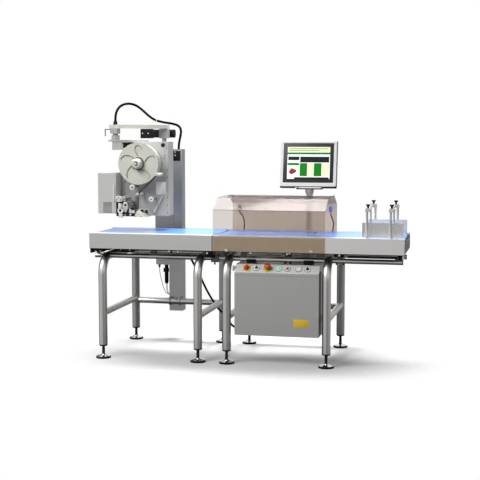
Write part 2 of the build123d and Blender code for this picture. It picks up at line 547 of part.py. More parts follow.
# Labelling head: top plate on the swivel pin, housing, motor box and side box
top_plate_z = (PLATE_Z[1] + 4, swivel_block_z[0] - 44)
NECK_H = 10
boss_h = swivel_block_z[0] - FACE_GAP - top_plate_z[1]
boss = rod((swivel_x, swivel_y, top_plate_z[1]), "z", boss_h - NECK_H, BOSS_R)
boss += rod((swivel_x, swivel_y, top_plate_z[1]), "z", boss_h, PIVOT_R + 4)
boss += rod((swivel_x, swivel_y, top_plate_z[1]), "z", PIVOT_LEN + 44, PIVOT_R)
TOP_PLATE_X = (-58, 212)
top_plate = block(TOP_PLATE_X, (PLATE_Y[0], PLATE_Y[1] - 6), top_plate_z)
add("head_housing", boss + top_plate)
housing = block(PLATE_X, PLATE_Y, (PLATE_Z[0], top_plate_z[0]))
housing_in_z = (PLATE_Z[0] + 3, top_plate_z[0] - 3)
housing -= block((PLATE_X[0] + 3, PLATE_X[1] - 3), (PLATE_Y[0] + 4, PLATE_Y[1] - 3), housing_in_z)
MOTOR_BOX_X, MOTOR_BOX_Z = (-31, PLATE_X[0]), (1462, top_plate_z[0])
add("head_housing", block(MOTOR_BOX_X, (PLATE_Y[0] + 5, PLATE_Y[1] - 16), MOTOR_BOX_Z))
SIDE_BOX_X, SIDE_BOX_Y, SIDE_BOX_Z = (-99, 37), (200, 440), (1003, 1297)
side_box = block(SIDE_BOX_X, SIDE_BOX_Y, SIDE_BOX_Z)
side_box_in = [(low + 3, high - 3) for low, high in (SIDE_BOX_X, SIDE_BOX_Y, SIDE_BOX_Z)]
side_box -= block(*side_box_in)
VENT_X, VENT_Z, VENT_PITCH = (-62, 5), 1010, 8
for i in range(10):
    slot_z = VENT_Z + i * VENT_PITCH
    side_box -= block(VENT_X, (SIDE_BOX_Y[0] - 1, SIDE_BOX_Y[0] + 4), (slot_z, slot_z + 4))
side_box += block((SIDE_BOX_X[1], PLATE_X[0]), (PLATE_Y[0] + 10, SIDE_BOX_Y[1]), (1040, 1260))
add("side_box", side_box)

# Reel: two flanges on a hub, the front one with five leaf-shaped pockets
reel_x, reel_z = REEL_XZ
REEL_SHAFT_R, HUB_R, FLANGE_T, BACK_FLANGE_T, ROLL_R = 12, 37, 7, 4, 122
POCKET_DEPTH = 5
# leaf outline: radius from the middle, and angle from the leaf's line to the hub
LEAF = ((52, -36), (87, -23), (118, -11), (134, 2), (110, 12.5), (82, 12.7), (52, 0))


def leaf_pocket():
    """Leaf-shaped pocket above the hub, rounded at its tip near the rim."""
    points = [Vector(r, 0, 0).rotate(Axis.Z, 90 + angle) for r, angle in LEAF]
    leaf = make_face(Spline(*points, periodic=True))
    return Pos(0, 0, FLANGE_T - POCKET_DEPTH) * extrude(leaf, amount=POCKET_DEPTH + 1)


front_flange = Cylinder(REEL_D / 2, FLANGE_T, align=(Align.CENTER, Align.CENTER, Align.MIN))
for i in range(5):
    front_flange -= Rot(0, 0, 72 * i) * leaf_pocket()
REEL_DEPTH = REEL_Y[1] - REEL_Y[0] - FLANGE_T
hub_profile = (
    (0, -REEL_DEPTH), (HUB_R, -REEL_DEPTH), (HUB_R, 46), (28, 58), (26, 64),
    (12, 64), (12, 50), (0, 50),
)
hub_face = make_face(Polyline(*[(r, 0, h) for r, h in hub_profile], close=True))
front_flange += revolve(hub_face, Axis.Z)
front_flange += rod((0, 0, -REEL_DEPTH), "z", BACK_FLANGE_T, REEL_D / 2 - 10)
SHAFT_REACH = REEL_Y[1] - REEL_Y[0] + 60
front_flange += rod((0, 0, -SHAFT_REACH), "z", SHAFT_REACH, REEL_SHAFT_R)
add("reel", Pos(reel_x, REEL_Y[0] + FLANGE_T, reel_z) * Rot(90, 0, 0) * front_flange)
roll_y = (REEL_Y[0] + FLANGE_T + FACE_GAP, REEL_Y[1] - BACK_FLANGE_T - FACE_GAP)
add("label_roll", rod((reel_x, roll_y[0], reel_z), "y", roll_y[1] - roll_y[0], ROLL_R, HUB_R + PIN_CLEARANCE))
housing -= rod((reel_x, PLATE_Y[0] - 1, reel_z), "y", 10, REEL_SHAFT_R + PIN_CLEARANCE)

# Rollers and the dancer arm stand on the front plate, each on its own spigot
SPIGOT_R = 6
ROLLERS = {"upper_roller": (154, 1195, 13), "lower_roller": (296, 1110, 11)}
roller_y = (222, PLATE_Y[0] - FACE_GAP)
for name, (x, z, r) in ROLLERS.items():
    body = rod((x, roller_y[0], z), "y", roller_y[1] - roller_y[0], r)
    body += rod((x, roller_y[0], z), "y", 6, r + 7)
    body += rod((x, roller_y[1] - 8, z), "y", 6, r + 4)
    body += rod((x, roller_y[1], z), "y", 14, SPIGOT_R)
    housing -= rod((x, PLATE_Y[0] - 1, z), "y", 10, SPIGOT_R + PIN_CLEARANCE)
    add(name, body)
ARM_PIVOT, ARM_END = (352, 1288), (205, 1148)
ARM_Y = (188, 200)
arm_dir = Vector(ARM_END[0] - ARM_PIVOT[0], ARM_END[1] - ARM_PIVOT[1])
arm_turn = Rot(0, -math.degrees(math.atan2(arm_dir.Y, arm_dir.X)), 0)
arm_bar = block((0, arm_dir.length), (0, ARM_Y[1] - ARM_Y[0]), (-6, 6))
arm = Pos(ARM_PIVOT[0], ARM_Y[0], ARM_PIVOT[1]) * arm_turn * arm_bar
arm += rod((ARM_PIVOT[0], ARM_Y[0] - 3, ARM_PIVOT[1]), "y", PLATE_Y[0] - ARM_Y[0] + 3 - FACE_GAP, 11)
arm += rod((ARM_PIVOT[0], ARM_Y[0], ARM_PIVOT[1]), "y", PLATE_Y[0] - ARM_Y[0] + 14, SPIGOT_R)
arm += rod((ARM_END[0], ARM_Y[0] - 3, ARM_END[1]), "y", 118, 9)
arm += rod((ARM_END[0], ARM_Y[0] - 5, ARM_END[1]), "y", 8, 13)
housing -= rod((ARM_PIVOT[0], PLATE_Y[0] - 1, ARM_PIVOT[1]), "y", 10, SPIGOT_R + PIN_CLEARANCE)
add("dancer_arm", arm)

# Print unit: base, two cheeks, print head, peel plate and the web strip
UNIT_Y = (186, PLATE_Y[0])
CHEEK_T = 5
PRINT_XZ, PRINT_R = (84, 1026), 17
WHEEL_XZ, WHEEL_R = (84, 1062.5), 16
cheek_line = ((48, 992), (184, 992), (184, 1010), (136, 1052), (136, 1078), (112, 1104), (52, 1104))
front_cheek_y = (UNIT_Y[0], UNIT_Y[0] + CHEEK_T)
rear_cheek_y = (UNIT_Y[1] - 12, UNIT_Y[1])
unit = block((45, 282), UNIT_Y, (986, 992))
for y in (front_cheek_y, rear_cheek_y):
    unit += plate_xz(cheek_line, y)
for (x, z) in (PRINT_XZ, WHEEL_XZ):
    for y in (front_cheek_y[0], rear_cheek_y[0]):
        unit -= rod((x, y - 1, z), "y", CHEEK_T + 8, SPIGOT_R + PIN_CLEARANCE)
unit += block((56, 126), (UNIT_Y[0] + CHEEK_T, rear_cheek_y[0]), (1084, 1098))
unit += block((112, 126), (UNIT_Y[0] + CHEEK_T, rear_cheek_y[0]), (1044, 1084))
unit += block((140, 180), (UNIT_Y[0] + CHEEK_T, rear_cheek_y[0]), (992, 1006))
add("print_unit", unit)
bracket_line = ((44, 1104), (94, 1104), (112, 1118), (100, 1132), (56, 1126), (44, 1112))
bracket = plate_xz(bracket_line, (196, PLATE_Y[0]))
add("print_unit", bracket)
peel_line = ((188, 992), (282, 992), (282, 1016), (258, 1034), (216, 1042), (188, 1018))
add("print_unit", plate_xz(peel_line, (204, PLATE_Y[0])))
strip = plate_xz(((352, 1132), (358, 1128), (288, 998), (280, 1002)), (298, PLATE_Y[0]))
add("print_unit", strip)
for name, (x, z), r in (("print_roller", PRINT_XZ, PRINT_R), ("feed_wheel", WHEEL_XZ, WHEEL_R)):
    inside = (front_cheek_y[1] + FACE_GAP, rear_cheek_y[0] - FACE_GAP)
    wheel = rod((x, inside[0], z), "y", inside[1] - inside[0], r)
    wheel += rod((x, front_cheek_y[0] - 4, z), "y", rear_cheek_y[0] + 8 - front_cheek_y[0], SPIGOT_R)
    wheel += rod((x, front_cheek_y[0] - 14, z), "y", 13, r - 2)
    add(name, wheel)
add("head_housing", housing)

# Touch screen: pole on a foot behind the conveyor, swivel head, tilting housing
POLE_XY, POLE_R = (1388, 600), 20
POLE_Z = (690, 1164)
pole = rod((*POLE_XY, POLE_Z[0]), "z", POLE_Z[1] - 30 - POLE_Z[0], POLE_R, POLE_R - 3)
pole_foot = block((POLE_XY[0] - 30, POLE_XY[0] + 30), (RAIL_Y[1] + rail_r, POLE_XY[1] - POLE_R), (690, 740))
pole_arm = block((POLE_XY[0] - 30, POLE_XY[0] + 30), (RAIL_Y[1] - 24, RAIL_Y[1] + 40), (685, 735))
pole_arm -= rod((POLE_XY[0] - 40, RAIL_Y[1], TOP_TUBE_Z), "x", 80, rail_hole_r)
pole_ring = rod((*POLE_XY, 690), "z", 50, POLE_R + 12) - rod((*POLE_XY, 690), "z", 50, POLE_R)
pole_plug = rod((*POLE_XY, POLE_Z[1] - 34), "z", 4, POLE_R) + rod((*POLE_XY, POLE_Z[1] - 34), "z", 28, 10)
add("display_pole", pole + pole_plug, pole_foot + pole_arm + pole_ring)
TILT_Z, TILT_Y = 1222, 594
collar_z = POLE_Z[1] - 30 + FACE_GAP
swivel = rod((*POLE_XY, collar_z), "z", 44, POLE_R + 6)
swivel -= rod((*POLE_XY, collar_z - 1), "z", 25.6, 10 + PIN_CLEARANCE)
swivel += block((POLE_XY[0] - 95, POLE_XY[0] + 95), (TILT_Y - 8, TILT_Y + 30), (collar_z + 42, collar_z + 48))
for s in (-1, 1):
    ear_x = (POLE_XY[0] + s * 88 - 4, POLE_XY[0] + s * 88 + 4)
    ear = block(ear_x, (TILT_Y - 8, TILT_Y + 30), (collar_z + 48, TILT_Z + 12))
    swivel += ear - rod((ear_x[0] - 1, TILT_Y, TILT_Z), "x", 10, 5 + PIN_CLEARANCE)
add("display_swivel", swivel)
SCREEN_X, SCREEN_H, SCREEN_T, SCREEN_TILT = (1179, 1592), 334, 52, 10
BEZEL_SIDE, BEZEL_BELOW, BEZEL_ABOVE = 22, 27, 17
screen = block(SCREEN_X, (-SCREEN_T, 0), (0, SCREEN_H))
screen = fillet(screen.edges().filter_by(Axis.Y), 10)
screen = fillet(screen.faces().sort_by(Axis.Y)[0].edges(), 3)
recess_x = (SCREEN_X[0] + BEZEL_SIDE, SCREEN_X[1] - BEZEL_SIDE)
screen -= block(recess_x, (-SCREEN_T - 1, -SCREEN_T + 2), (BEZEL_BELOW, SCREEN_H - BEZEL_ABOVE))
screen = Pos(0, TILT_Y - 20, TILT_Z - 31) * Rot(-SCREEN_TILT, 0, 0) * screen
screen += block((POLE_XY[0] - 83, POLE_XY[0] + 83), (TILT_Y - 22, TILT_Y + 8), (TILT_Z - 8, TILT_Z + 14))
screen += rod((POLE_XY[0] - 94, TILT_Y, TILT_Z), "x", 188, 5)
add("display_housing", screen)

# Product guides: posts on the ledges, sliding plates and their clamp knobs
GUIDE_X = (1838, 2114)
GUIDE_Z = (884, 981)
POST_X = (1873, 2031)
POST_R, BAR_R, BAR_Z = 7, 5, 1069
FOLD_W = 12
knob_low = BAR_R + FACE_GAP
knob_profile = (
    (0, knob_low), (4, knob_low), (4, 14.3), (7, 14.3), (7, 24), (15, 36), (15, 40), (0, 40),
)
# side: post y and shift, plate y, far end of the bar, direction, bar and knob offsets
guide_places = {"front": (0, 0, 45, -30, 1, 20, 7), "rear": (478, 9, 375, 545, -1, -21, -12)}
for side, (post_y, post_dx, plate_y, bar_end, s, bar_dx, knob_dx) in guide_places.items():
    face_y = sorted((plate_y, plate_y + 3 * s))
    leg_y = plate_y + 9 * s if side == "front" else plate_y - 6 * s
    guide = block(GUIDE_X, face_y, GUIDE_Z)
    for end in (GUIDE_X[0], GUIDE_X[1] - 3):
        fold_y = sorted((plate_y, plate_y - FOLD_W * s)) if side == "rear" else (plate_y - FOLD_W, plate_y)
        guide += block((end, end + 3), fold_y, GUIDE_Z)
    for x, place in zip(POST_X, ("left", "right")):
        x += post_dx
        bar_x, knob_x = x + bar_dx, x + knob_dx
        seat_x = (min(x, bar_x) - 11, max(x, bar_x) + 11)
        seat = block(seat_x, (post_y - 11, post_y + 11), (BAR_Z - 11, BAR_Z + 13))
        seat += rod((x, post_y, PASS_Z), "z", BAR_Z - PASS_Z, POST_R)
        seat += rod((x, post_y, PASS_Z), "z", 5, POST_R + 6)
        seat -= rod((bar_x, post_y - 20, BAR_Z), "y", 40, BAR_R + PIN_CLEARANCE)
        seat -= rod((knob_x, post_y, BAR_Z + 4), "z", 20, 4 + PIN_CLEARANCE)
        add("guide_posts", seat)
        low, high = sorted((bar_end, leg_y))
        guide += rod((bar_x, low, BAR_Z), "y", high - low, BAR_R)
        guide += block((bar_x - 5, bar_x + 5), (leg_y - 6, leg_y + 6), (GUIDE_Z[1] - 24, BAR_Z + 5))
        add(f"{side}_knob_{place}", turned(knob_profile, (knob_x, post_y, BAR_Z)))
    add(f"{side}_guide", guide)

# Cords: straight runs joined by tangent arcs as large as the runs allow


def cord(points, radius):
    """Round cord along hand-chosen points; prints its bend radii and volume."""
    places = [Vector(*p) for p in points]
    runs = [b - a for a, b in zip(places, places[1:])]
    bends = []
    for before, after in zip(runs, runs[1:]):
        half = math.radians(before.get_angle(after)) / 2
        bends.append(0.45 * min(before.length, after.length) / math.tan(half))
    path = FilletPolyline(*places, radius=bends)
    section = Plane(origin=places[0], z_dir=runs[0].normalized()) * Circle(radius)
    tube = sweep(section, path=path)
    ratio = tube.volume / (math.pi * radius**2 * path.length)
    print("cord", [round(b) for b in bends], "length", round(path.length), "volume ratio", round(ratio, 3))
    return tube


TOP_CABLE_R = 9
TOP_CABLE = (
    (-13, 350, 1668), (-13, 350, 1706), (-4, 357, 1750), (22, 372, 1786), (64, 400, 1802),
    (104, 456, 1794), (132, 526, 1762), (160, 600, 1716), (192, 664, 1682), (238, 736, 1666),
    (292, 788, 1658), (338, 818, 1642), (354, 828, 1606), (346, 827, 1556), (333, 826.5, 1500),
    (333, 826.5, 1462),
)
SUPPLY_CABLE_R = 8
SUPPLY_CABLE = (
    (482, 481, 774), (482, 481, 740), (488, 506, 694), (508, 556, 634), (531, 606, 560),
    (556, 650, 484), (586, 680, 400), (626, 692, 326), (668, 692, 262), (716, 662, 230),
    (760, 592, 212), (802, 504, 198), (842, 414, 186), (886, 336, 180), (936, 294, 184),
    (984, 274, 202), (1010, 240, 226), (1010, 185, 226),
)
LEAD_R = 4
SENSOR_LEADS = {
    "sensor_lead_right": (
        (1553, 531, 1014), (1553, 531, 999), (1562, 526, 980), (1574, 515, 956),
        (1581, 503, 932), (1580, 490, 912), (1578, 480, 896), (1578, 480, 880),
    ),
    "sensor_lead_left": (
        (879, 531, 1014), (879, 531, 1002), (894, 525, 990), (911, 517, 968),
        (920, 507, 944), (924, 494, 918), (926, 480, 897), (926, 480, 880),
    ),
}
LIFT_LEAD_R = 2.5
LIFT_LEAD = (
    (180, 800, 569), (180, 800, 540), (184, 798, 504), (191, 797, 466), (201, 797, 428),
    (211, 797, 392), (223, 799, 362), (240, 800, 338), (264, 800, 338),
)
add("top_cable", cord(TOP_CABLE, TOP_CABLE_R))
add("supply_cable", cord(SUPPLY_CABLE, SUPPLY_CABLE_R))
for name, route in SENSOR_LEADS.items():
    add(name, cord(route, LEAD_R))
add("lift_lead", cord(LIFT_LEAD, LIFT_LEAD_R))

# Move everything so that the origin is below the middle of the assembly
CORDS = ("top_cable", "supply_cable", "sensor_lead_left", "sensor_lead_right", "lift_lead")
rigid = Compound([s for name, group in nodes.items() if name not in CORDS for s in group])
box = rigid.bounding_box()
origin = ((box.min.X + box.max.X) / 2, (box.min.Y + box.max.Y) / 2, box.min.Z)
print("origin in the layout frame", [round(v, 3) for v in origin])
print("size", [round(v, 1) for v in (box.size.X, box.size.Y, box.size.Z)])
for name, group in nodes.items():
    moved = [Pos(-origin[0], -origin[1], -origin[2]) * s for s in group]
    export_step(moved[0] if len(moved) == 1 else Compound(moved), f"parts/{name}.step")
print(len(nodes), "nodes")
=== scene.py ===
# %% [markdown]
# # A weigh price labeller, dressed piece by piece
# The machine is a stainless line: two tables, three belts, a tinted hood, a labelling
# head on a column, a touch screen and a cabinet. The frame already holds every piece at
# its real size. This file gives each one its finish and adds the fine pieces.

# %% Load the frame and remember its box
import math

import bmesh
import bpy
from mathutils import Matrix, Vector


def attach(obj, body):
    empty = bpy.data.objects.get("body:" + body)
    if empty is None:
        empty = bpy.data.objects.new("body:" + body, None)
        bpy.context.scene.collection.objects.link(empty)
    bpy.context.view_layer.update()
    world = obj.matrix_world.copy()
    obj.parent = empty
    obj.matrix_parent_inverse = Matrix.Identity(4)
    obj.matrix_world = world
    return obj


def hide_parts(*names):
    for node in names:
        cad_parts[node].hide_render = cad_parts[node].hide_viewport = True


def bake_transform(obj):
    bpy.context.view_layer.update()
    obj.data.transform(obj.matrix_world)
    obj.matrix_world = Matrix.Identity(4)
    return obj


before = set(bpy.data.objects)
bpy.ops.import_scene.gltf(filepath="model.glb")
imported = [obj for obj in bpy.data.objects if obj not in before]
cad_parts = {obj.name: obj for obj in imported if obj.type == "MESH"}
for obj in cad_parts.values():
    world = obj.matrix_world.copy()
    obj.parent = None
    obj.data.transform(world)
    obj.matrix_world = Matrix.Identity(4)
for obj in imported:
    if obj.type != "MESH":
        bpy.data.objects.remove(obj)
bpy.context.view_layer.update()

# %% [markdown]
# Places are written as they are on the shop drawing: millimetres from a point under
# the front left leg. One function turns such a point into metres in the row's frame.

# %% Drawing places and units
ORIGIN = (1014.5, 410.9, -16.0)
MM = 0.001


def at(x, y, z):
    """A drawing point in millimetres, as a vector in the row's frame in metres."""
    return Vector(((x - ORIGIN[0]) * MM, (y - ORIGIN[1]) * MM, (z - ORIGIN[2]) * MM))


def link_new(name, data):
    """A new object that holds data, linked to the scene."""
    made = bpy.data.objects.new(name, data)
    bpy.context.scene.collection.objects.link(made)
    return made


# %% [markdown]
# The camera stands to the right of the machine, a little above the belts, with a long
# lens. It was worked out from the legs and the conveyor edges in the photograph.

# %% Camera
EYE = (2646.6, -7363.0, 1575.6)
PAN, PITCH, LENS, SENSOR, FAR_END = 0.2199, 0.0958, 82.5, 36, 60
camera = link_new("camera", bpy.data.cameras.new("camera"))
camera.location = at(*EYE)
camera.rotation_euler = (math.pi / 2 - PITCH, 0, PAN)
camera.data.lens = LENS
camera.data.sensor_width = SENSOR
camera.data.clip_end = FAR_END
bpy.context.scene.camera = camera
bpy.context.scene.view_settings.view_transform = "Standard"

# %% [markdown]
# Cords come first, because they must fit the frame. A cord is a round line through
# control points: it leaves its gland straight, hangs in even curves and ends in the
# next housing. A NURBS spline of order three gives that smooth line.

# %% Cords between the housings


def nurbs_cord(name, points, radius):
    curve = bpy.data.curves.new(name, "CURVE")
    curve.dimensions = "3D"
    spline = curve.splines.new("NURBS")
    spline.points.add(len(points) - 1)
    for knot, place in zip(spline.points, points):
        knot.co = (*at(*place), 1)
    spline.order_u = 3
    spline.use_endpoint_u = True
    spline.resolution_u = 8
    curve.bevel_depth = radius * MM
    curve.bevel_resolution = 5
    curve.use_fill_caps = True
    return link_new(name, curve)


# each cord: its control points, radius and length, and the body that carries it
CORDS = {
    "top_cable": ((
        (-13, 350, 1668), (-13, 350, 1706), (-4, 357, 1750), (22, 372, 1786), (64, 400, 1802),
        (104, 456, 1794), (132, 526, 1762), (160, 600, 1716), (192, 664, 1682), (238, 736, 1666),
        (292, 788, 1658), (338, 818, 1642), (354, 828, 1606), (346, 827, 1556), (333, 826.5, 1500),
        (333, 826.5, 1462),
    ), 9.0, 0.903, "lift"),
    "supply_cable": ((
        (482, 481, 774), (482, 481, 740), (488, 506, 694), (508, 556, 634), (531, 606, 560),
        (556, 650, 484), (586, 680, 400), (626, 692, 326), (668, 692, 262), (716, 662, 230),
        (760, 592, 212), (802, 504, 198), (842, 414, 186), (886, 336, 180), (936, 294, 184),
        (984, 274, 202), (1010, 240, 226), (1010, 185, 226),
    ), 8.0, 1.258, "root"),
    "sensor_lead_right": ((
        (1553, 531, 1014), (1553, 531, 999), (1562, 526, 980), (1574, 515, 956),
        (1581, 503, 932), (1580, 490, 912), (1578, 480, 896), (1578, 480, 880),
    ), 4.0, 0.151, "root"),
    "sensor_lead_left": ((
        (879, 531, 1014), (879, 531, 1002), (894, 525, 990), (911, 517, 968),
        (920, 507, 944), (924, 494, 918), (926, 480, 897), (926, 480, 880),
    ), 4.0, 0.159, "root"),
    "lift_lead": ((
        (180, 800, 569), (180, 800, 540), (184, 798, 504), (191, 797, 466), (201, 797, 428),
        (211, 797, 392), (223, 799, 362), (240, 800, 338), (264, 800, 338),
    ), 2.5, 0.264, "root"),
}


def plain_mesh(piece):
    """The mesh that a piece's curve or modifier makes; the piece itself goes."""
    mesh = bpy.data.meshes.new_from_object(piece.evaluated_get(bpy.context.evaluated_depsgraph_get()))
    bpy.data.objects.remove(piece)
    return mesh


def line_points(name, points):
    """The NURBS line itself, read from the spline with no thickness, in metres."""
    return [tuple(v.co) for v in plain_mesh(nurbs_cord(name, points, 0)).vertices]


cord_pieces = {}
for name, (route, radius, length, body) in CORDS.items():
    piece = link_new(name + "_cord", plain_mesh(nurbs_cord(name + "_cord", route, radius)))
    if body == "lift":
        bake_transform(piece)
    else:
        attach(piece, body)
    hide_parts(name)
    line_points(name + "_line", route)
    cord_pieces[name] = piece
print("cords", ", ".join(cord_pieces))

# %% [markdown]
# Light and floor. The photograph is a studio cut-out: white all round, soft light from
# above and the left, and a faint shadow under the tables. The world is white to the
# camera. For light it is a soft room: bright behind and above, dim in front and right.

# %% Colour and node helpers


def srgb(code, alpha=1.0):
    """A hex colour as written on a paint card, turned to linear light."""
    channels = [int(code[i:i + 2], 16) / 255 for i in (1, 3, 5)]
    linear = [c / 12.92 if c <= 0.04045 else ((c + 0.055) / 1.055) ** 2.4 for c in channels]
    return (*linear, alpha)


def add_node(tree, kind, settings=None, links=None):
    """One node; "ShaderNode" is left off its kind. Settings name its properties or sockets, and
    links feed its sockets, from a socket or from another node's first output."""
    made = tree.nodes.new(kind if "Node" in kind else "ShaderNode" + kind)
    for key, value in (settings or {}).items():
        if isinstance(key, str) and hasattr(made, key):
            setattr(made, key, value)
        else:
            made.inputs[key].default_value = value
    for key, source in (links or {}).items():
        tree.links.new(getattr(source, "outputs", [source])[0], made.inputs[key])
    return made


def new_material(name):
    made = bpy.data.materials.new(name)
    made.use_nodes = True
    made.node_tree.nodes.clear()
    return made, made.node_tree


# %% Floor, world and lamps
FLOOR_SIZE, FLOOR_DROP, CAMERA_LIFT, LAMP_HEIGHT = 30.0, 0.0005, 0.12, 4.2
FADE_FROM, FADE_TO, FADE_OVAL = 0.85, 1.7, (1.15, 1.5, 1.0)
floor_mesh = bpy.data.meshes.new("studio_floor")
half = FLOOR_SIZE / 2
corners = [(-half, -half, 0), (half, -half, 0), (half, half, 0), (-half, half, 0)]
floor_mesh.from_pydata(corners, [], [(0, 1, 2, 3)])
floor = link_new("studio_floor", floor_mesh)
floor.location.z = -FLOOR_DROP
paper, tree = new_material("white paper sweep")
ray = add_node(tree, "LightPath")
matt = add_node(tree, "BsdfDiffuse", {"Color": srgb("#cfcfcf")})
lift = add_node(tree, "Math", {"operation": "MULTIPLY", 1: CAMERA_LIFT}, {0: ray.outputs["Is Camera Ray"]})
white = add_node(tree, "Emission", {"Color": srgb("#ffffff")}, {"Strength": lift})
lit = add_node(tree, "AddShader", {}, {0: matt, 1: white})
# gloss sees a darker floor, which gives the rails and stretchers their dark lower halves
dusk = add_node(tree, "BsdfDiffuse", {"Color": srgb("#3c3c3c")})
lit = add_node(tree, "MixShader", {}, {0: ray.outputs["Is Glossy Ray"], 1: lit, 2: dusk})
place = add_node(tree, "TexCoord")
oval = add_node(tree, "Mapping", {"Scale": FADE_OVAL}, {"Vector": place.outputs["Object"]})
reach = add_node(tree, "VectorMath", {"operation": "LENGTH"}, {0: oval})
fade = add_node(tree, "MapRange", {
    "From Min": FADE_FROM, "From Max": FADE_TO, "interpolation_type": "SMOOTHSTEP"},
    {"Value": reach.outputs["Value"]})
gone = add_node(tree, "BsdfTransparent")
sweep = add_node(tree, "MixShader", {}, {0: fade, 1: lit, 2: gone})
add_node(tree, "OutputMaterial", {}, {"Surface": sweep})
floor.data.materials.append(paper)

# the room's light comes as a sum of terms along the ray's direction; its numbers were fitted
RIGHT_SHADE, LEFT_GLOW, EDGE_SHADE, DOWN_SHADE, DULL_SHARE = 0.65, 0.3, 6.0, 0.85, 0.35
MEAN_LEVEL, LOWEST, TOWARD_LIGHT, EDGE_FROM = 0.95, 0.06, (0.3, 0.12, 0.1), 0.32
STEEPNESS, PEAK_POWER = 3.0, 4.0
world = bpy.data.worlds.new("studio")
bpy.context.scene.world = world
world.use_nodes = True
tree = world.node_tree
tree.nodes.clear()
ray = add_node(tree, "LightPath")
toward = add_node(tree, "TexCoord").outputs["Generated"]
slope = add_node(tree, "VectorMath", {"operation": "DOT_PRODUCT", 1: TOWARD_LIGHT}, {0: toward})
axes = add_node(tree, "SeparateXYZ", {}, {0: toward})
term = {"camera": ray.outputs["Is Camera Ray"], "through": ray.outputs["Is Transmission Ray"],
        "x": axes.outputs["X"], "y": axes.outputs["Y"], "z": axes.outputs["Z"], "slope": slope.outputs["Value"]}
for name, operation, *values in (
    ("seen", "MAXIMUM", "camera", "through"),
    ("level", "ADD", "slope", MEAN_LEVEL),
    ("right", "MAXIMUM", "x", 0.0),
    ("steep", "MULTIPLY", "right", STEEPNESS),
    ("shade", "MINIMUM", "steep", RIGHT_SHADE),
    ("left", "MINIMUM", "x", 0.0),
    ("peak", "POWER", "left", PEAK_POWER),
    ("level", "MULTIPLY_ADD", "peak", LEFT_GLOW, "level"),
    ("beyond", "ADD", "left", EDGE_FROM),
    ("far_left", "MINIMUM", "beyond", 0.0),
    ("behind", "MAXIMUM", "y", 0.0),
    ("edge", "MULTIPLY", "far_left", "behind"),
    ("level", "MULTIPLY_ADD", "edge", EDGE_SHADE, "level"),
    ("down", "MINIMUM", "z", 0.0),
    ("level", "MULTIPLY_ADD", "down", DOWN_SHADE, "level"),
    ("level", "SUBTRACT", "level", "shade"),
    ("level", "MAXIMUM", "level", LOWEST),
):
    numbers = {k: value for k, value in enumerate(values) if not isinstance(value, str)}
    sources = {k: term[value] for k, value in enumerate(values) if isinstance(value, str)}
    term[name] = add_node(tree, "Math", {"operation": operation, **numbers}, sources)
# gloss sees the whole bright room; the light that falls on dull surfaces is weaker, for a shadow
share = add_node(tree, "MapRange", {"To Min": DULL_SHARE, "To Max": 1.0}, {"Value": ray.outputs["Is Glossy Ray"]})
room = add_node(tree, "Math", {"operation": "MULTIPLY"}, {0: term["level"], 1: share})
dim = add_node(tree, "Background", {"Color": srgb("#f6f5f4")}, {"Strength": room})
bright = add_node(tree, "Background", {"Color": srgb("#ffffff"), "Strength": 1.0})
sky = add_node(tree, "MixShader", {}, {0: term["seen"], 1: dim, 2: bright})
add_node(tree, "OutputWorld", {}, {"Surface": sky})


def lamp(name, place, aim, size, power, in_gloss=True):
    light = bpy.data.lights.new(name, "AREA")
    light.shape = "RECTANGLE"
    light.size, light.size_y = size
    light.energy = power
    holder = link_new(name, light)
    holder.location = place
    holder.visible_glossy = in_gloss
    holder.rotation_euler = (Vector(aim) - Vector(place)).to_track_quat("-Z", "Y").to_euler()


lamp("key_softbox", (-2.4, -3.6, LAMP_HEIGHT), (0, 0, 0.8), (3.2, 2.4), 200)
lamp("fill_softbox", (3.4, -3.8, 2.4), (0.2, 0, 0.8), (2.4, 2.4), 14)
lamp("top_softbox", (-0.3, 0.7, LAMP_HEIGHT), (0, 0, 0.3), (2.4, 1.0), 320, in_gloss=False)
print("lamps placed")

# %% [markdown]
# Materials. Each starts from the real stuff: what it is and how its surface was made.
# Metals keep the default IOR and take their look from roughness and fine bump.

# %% Material makers
LINES_X, LINES_Z, EVEN = (0.03, 1, 1), (1, 1, 0.03), (1, 1, 1)


def grain(tree, stretch, size_mm):
    """A noise drawn out along one axis; size_mm is the distance between its lines."""
    place = add_node(tree, "TexCoord")
    spread = add_node(tree, "Mapping", {"Scale": stretch}, {"Vector": place.outputs["Object"]})
    return add_node(tree, "TexNoise", {"Scale": 1 / (size_mm * MM), "Detail": 3.0}, {"Vector": spread})


def height_of(tree):
    """The height above the floor, in metres."""
    place = add_node(tree, "TexCoord")
    return add_node(tree, "SeparateXYZ", {}, {0: place.outputs["Object"]}).outputs["Z"]


def ranged(tree, source, low, high):
    return add_node(tree, "MapRange", {"From Min": 0.3, "From Max": 0.7, "To Min": low, "To Max": high},
                    {"Value": source})


def surface(name, colour, rough, size_mm=3.0, shade_swing=0.03, bump_mm=0.01, metallic=0.0, stretch=EVEN,
            rough_swing=0.05, gloss=0.5, coat=0.0):
    """A Principled finish with its own grain in shade, roughness and height."""
    made, tree = new_material(name)
    noise = grain(tree, stretch, size_mm)
    darker = add_node(tree, "HueSaturation", {"Color": srgb(colour)},
                      {"Value": ranged(tree, noise, 1 - shade_swing, 1 + shade_swing)})
    height = add_node(tree, "Bump", {"Strength": 0.6, "Distance": bump_mm * MM}, {"Height": noise})
    skin = add_node(tree, "BsdfPrincipled", {
        "Metallic": metallic, "Specular IOR Level": gloss, "Coat Weight": coat}, {
        "Base Color": darker, "Normal": height,
        "Roughness": ranged(tree, noise, rough - rough_swing, rough + rough_swing)})
    add_node(tree, "OutputMaterial", {}, {"Surface": skin})
    return made


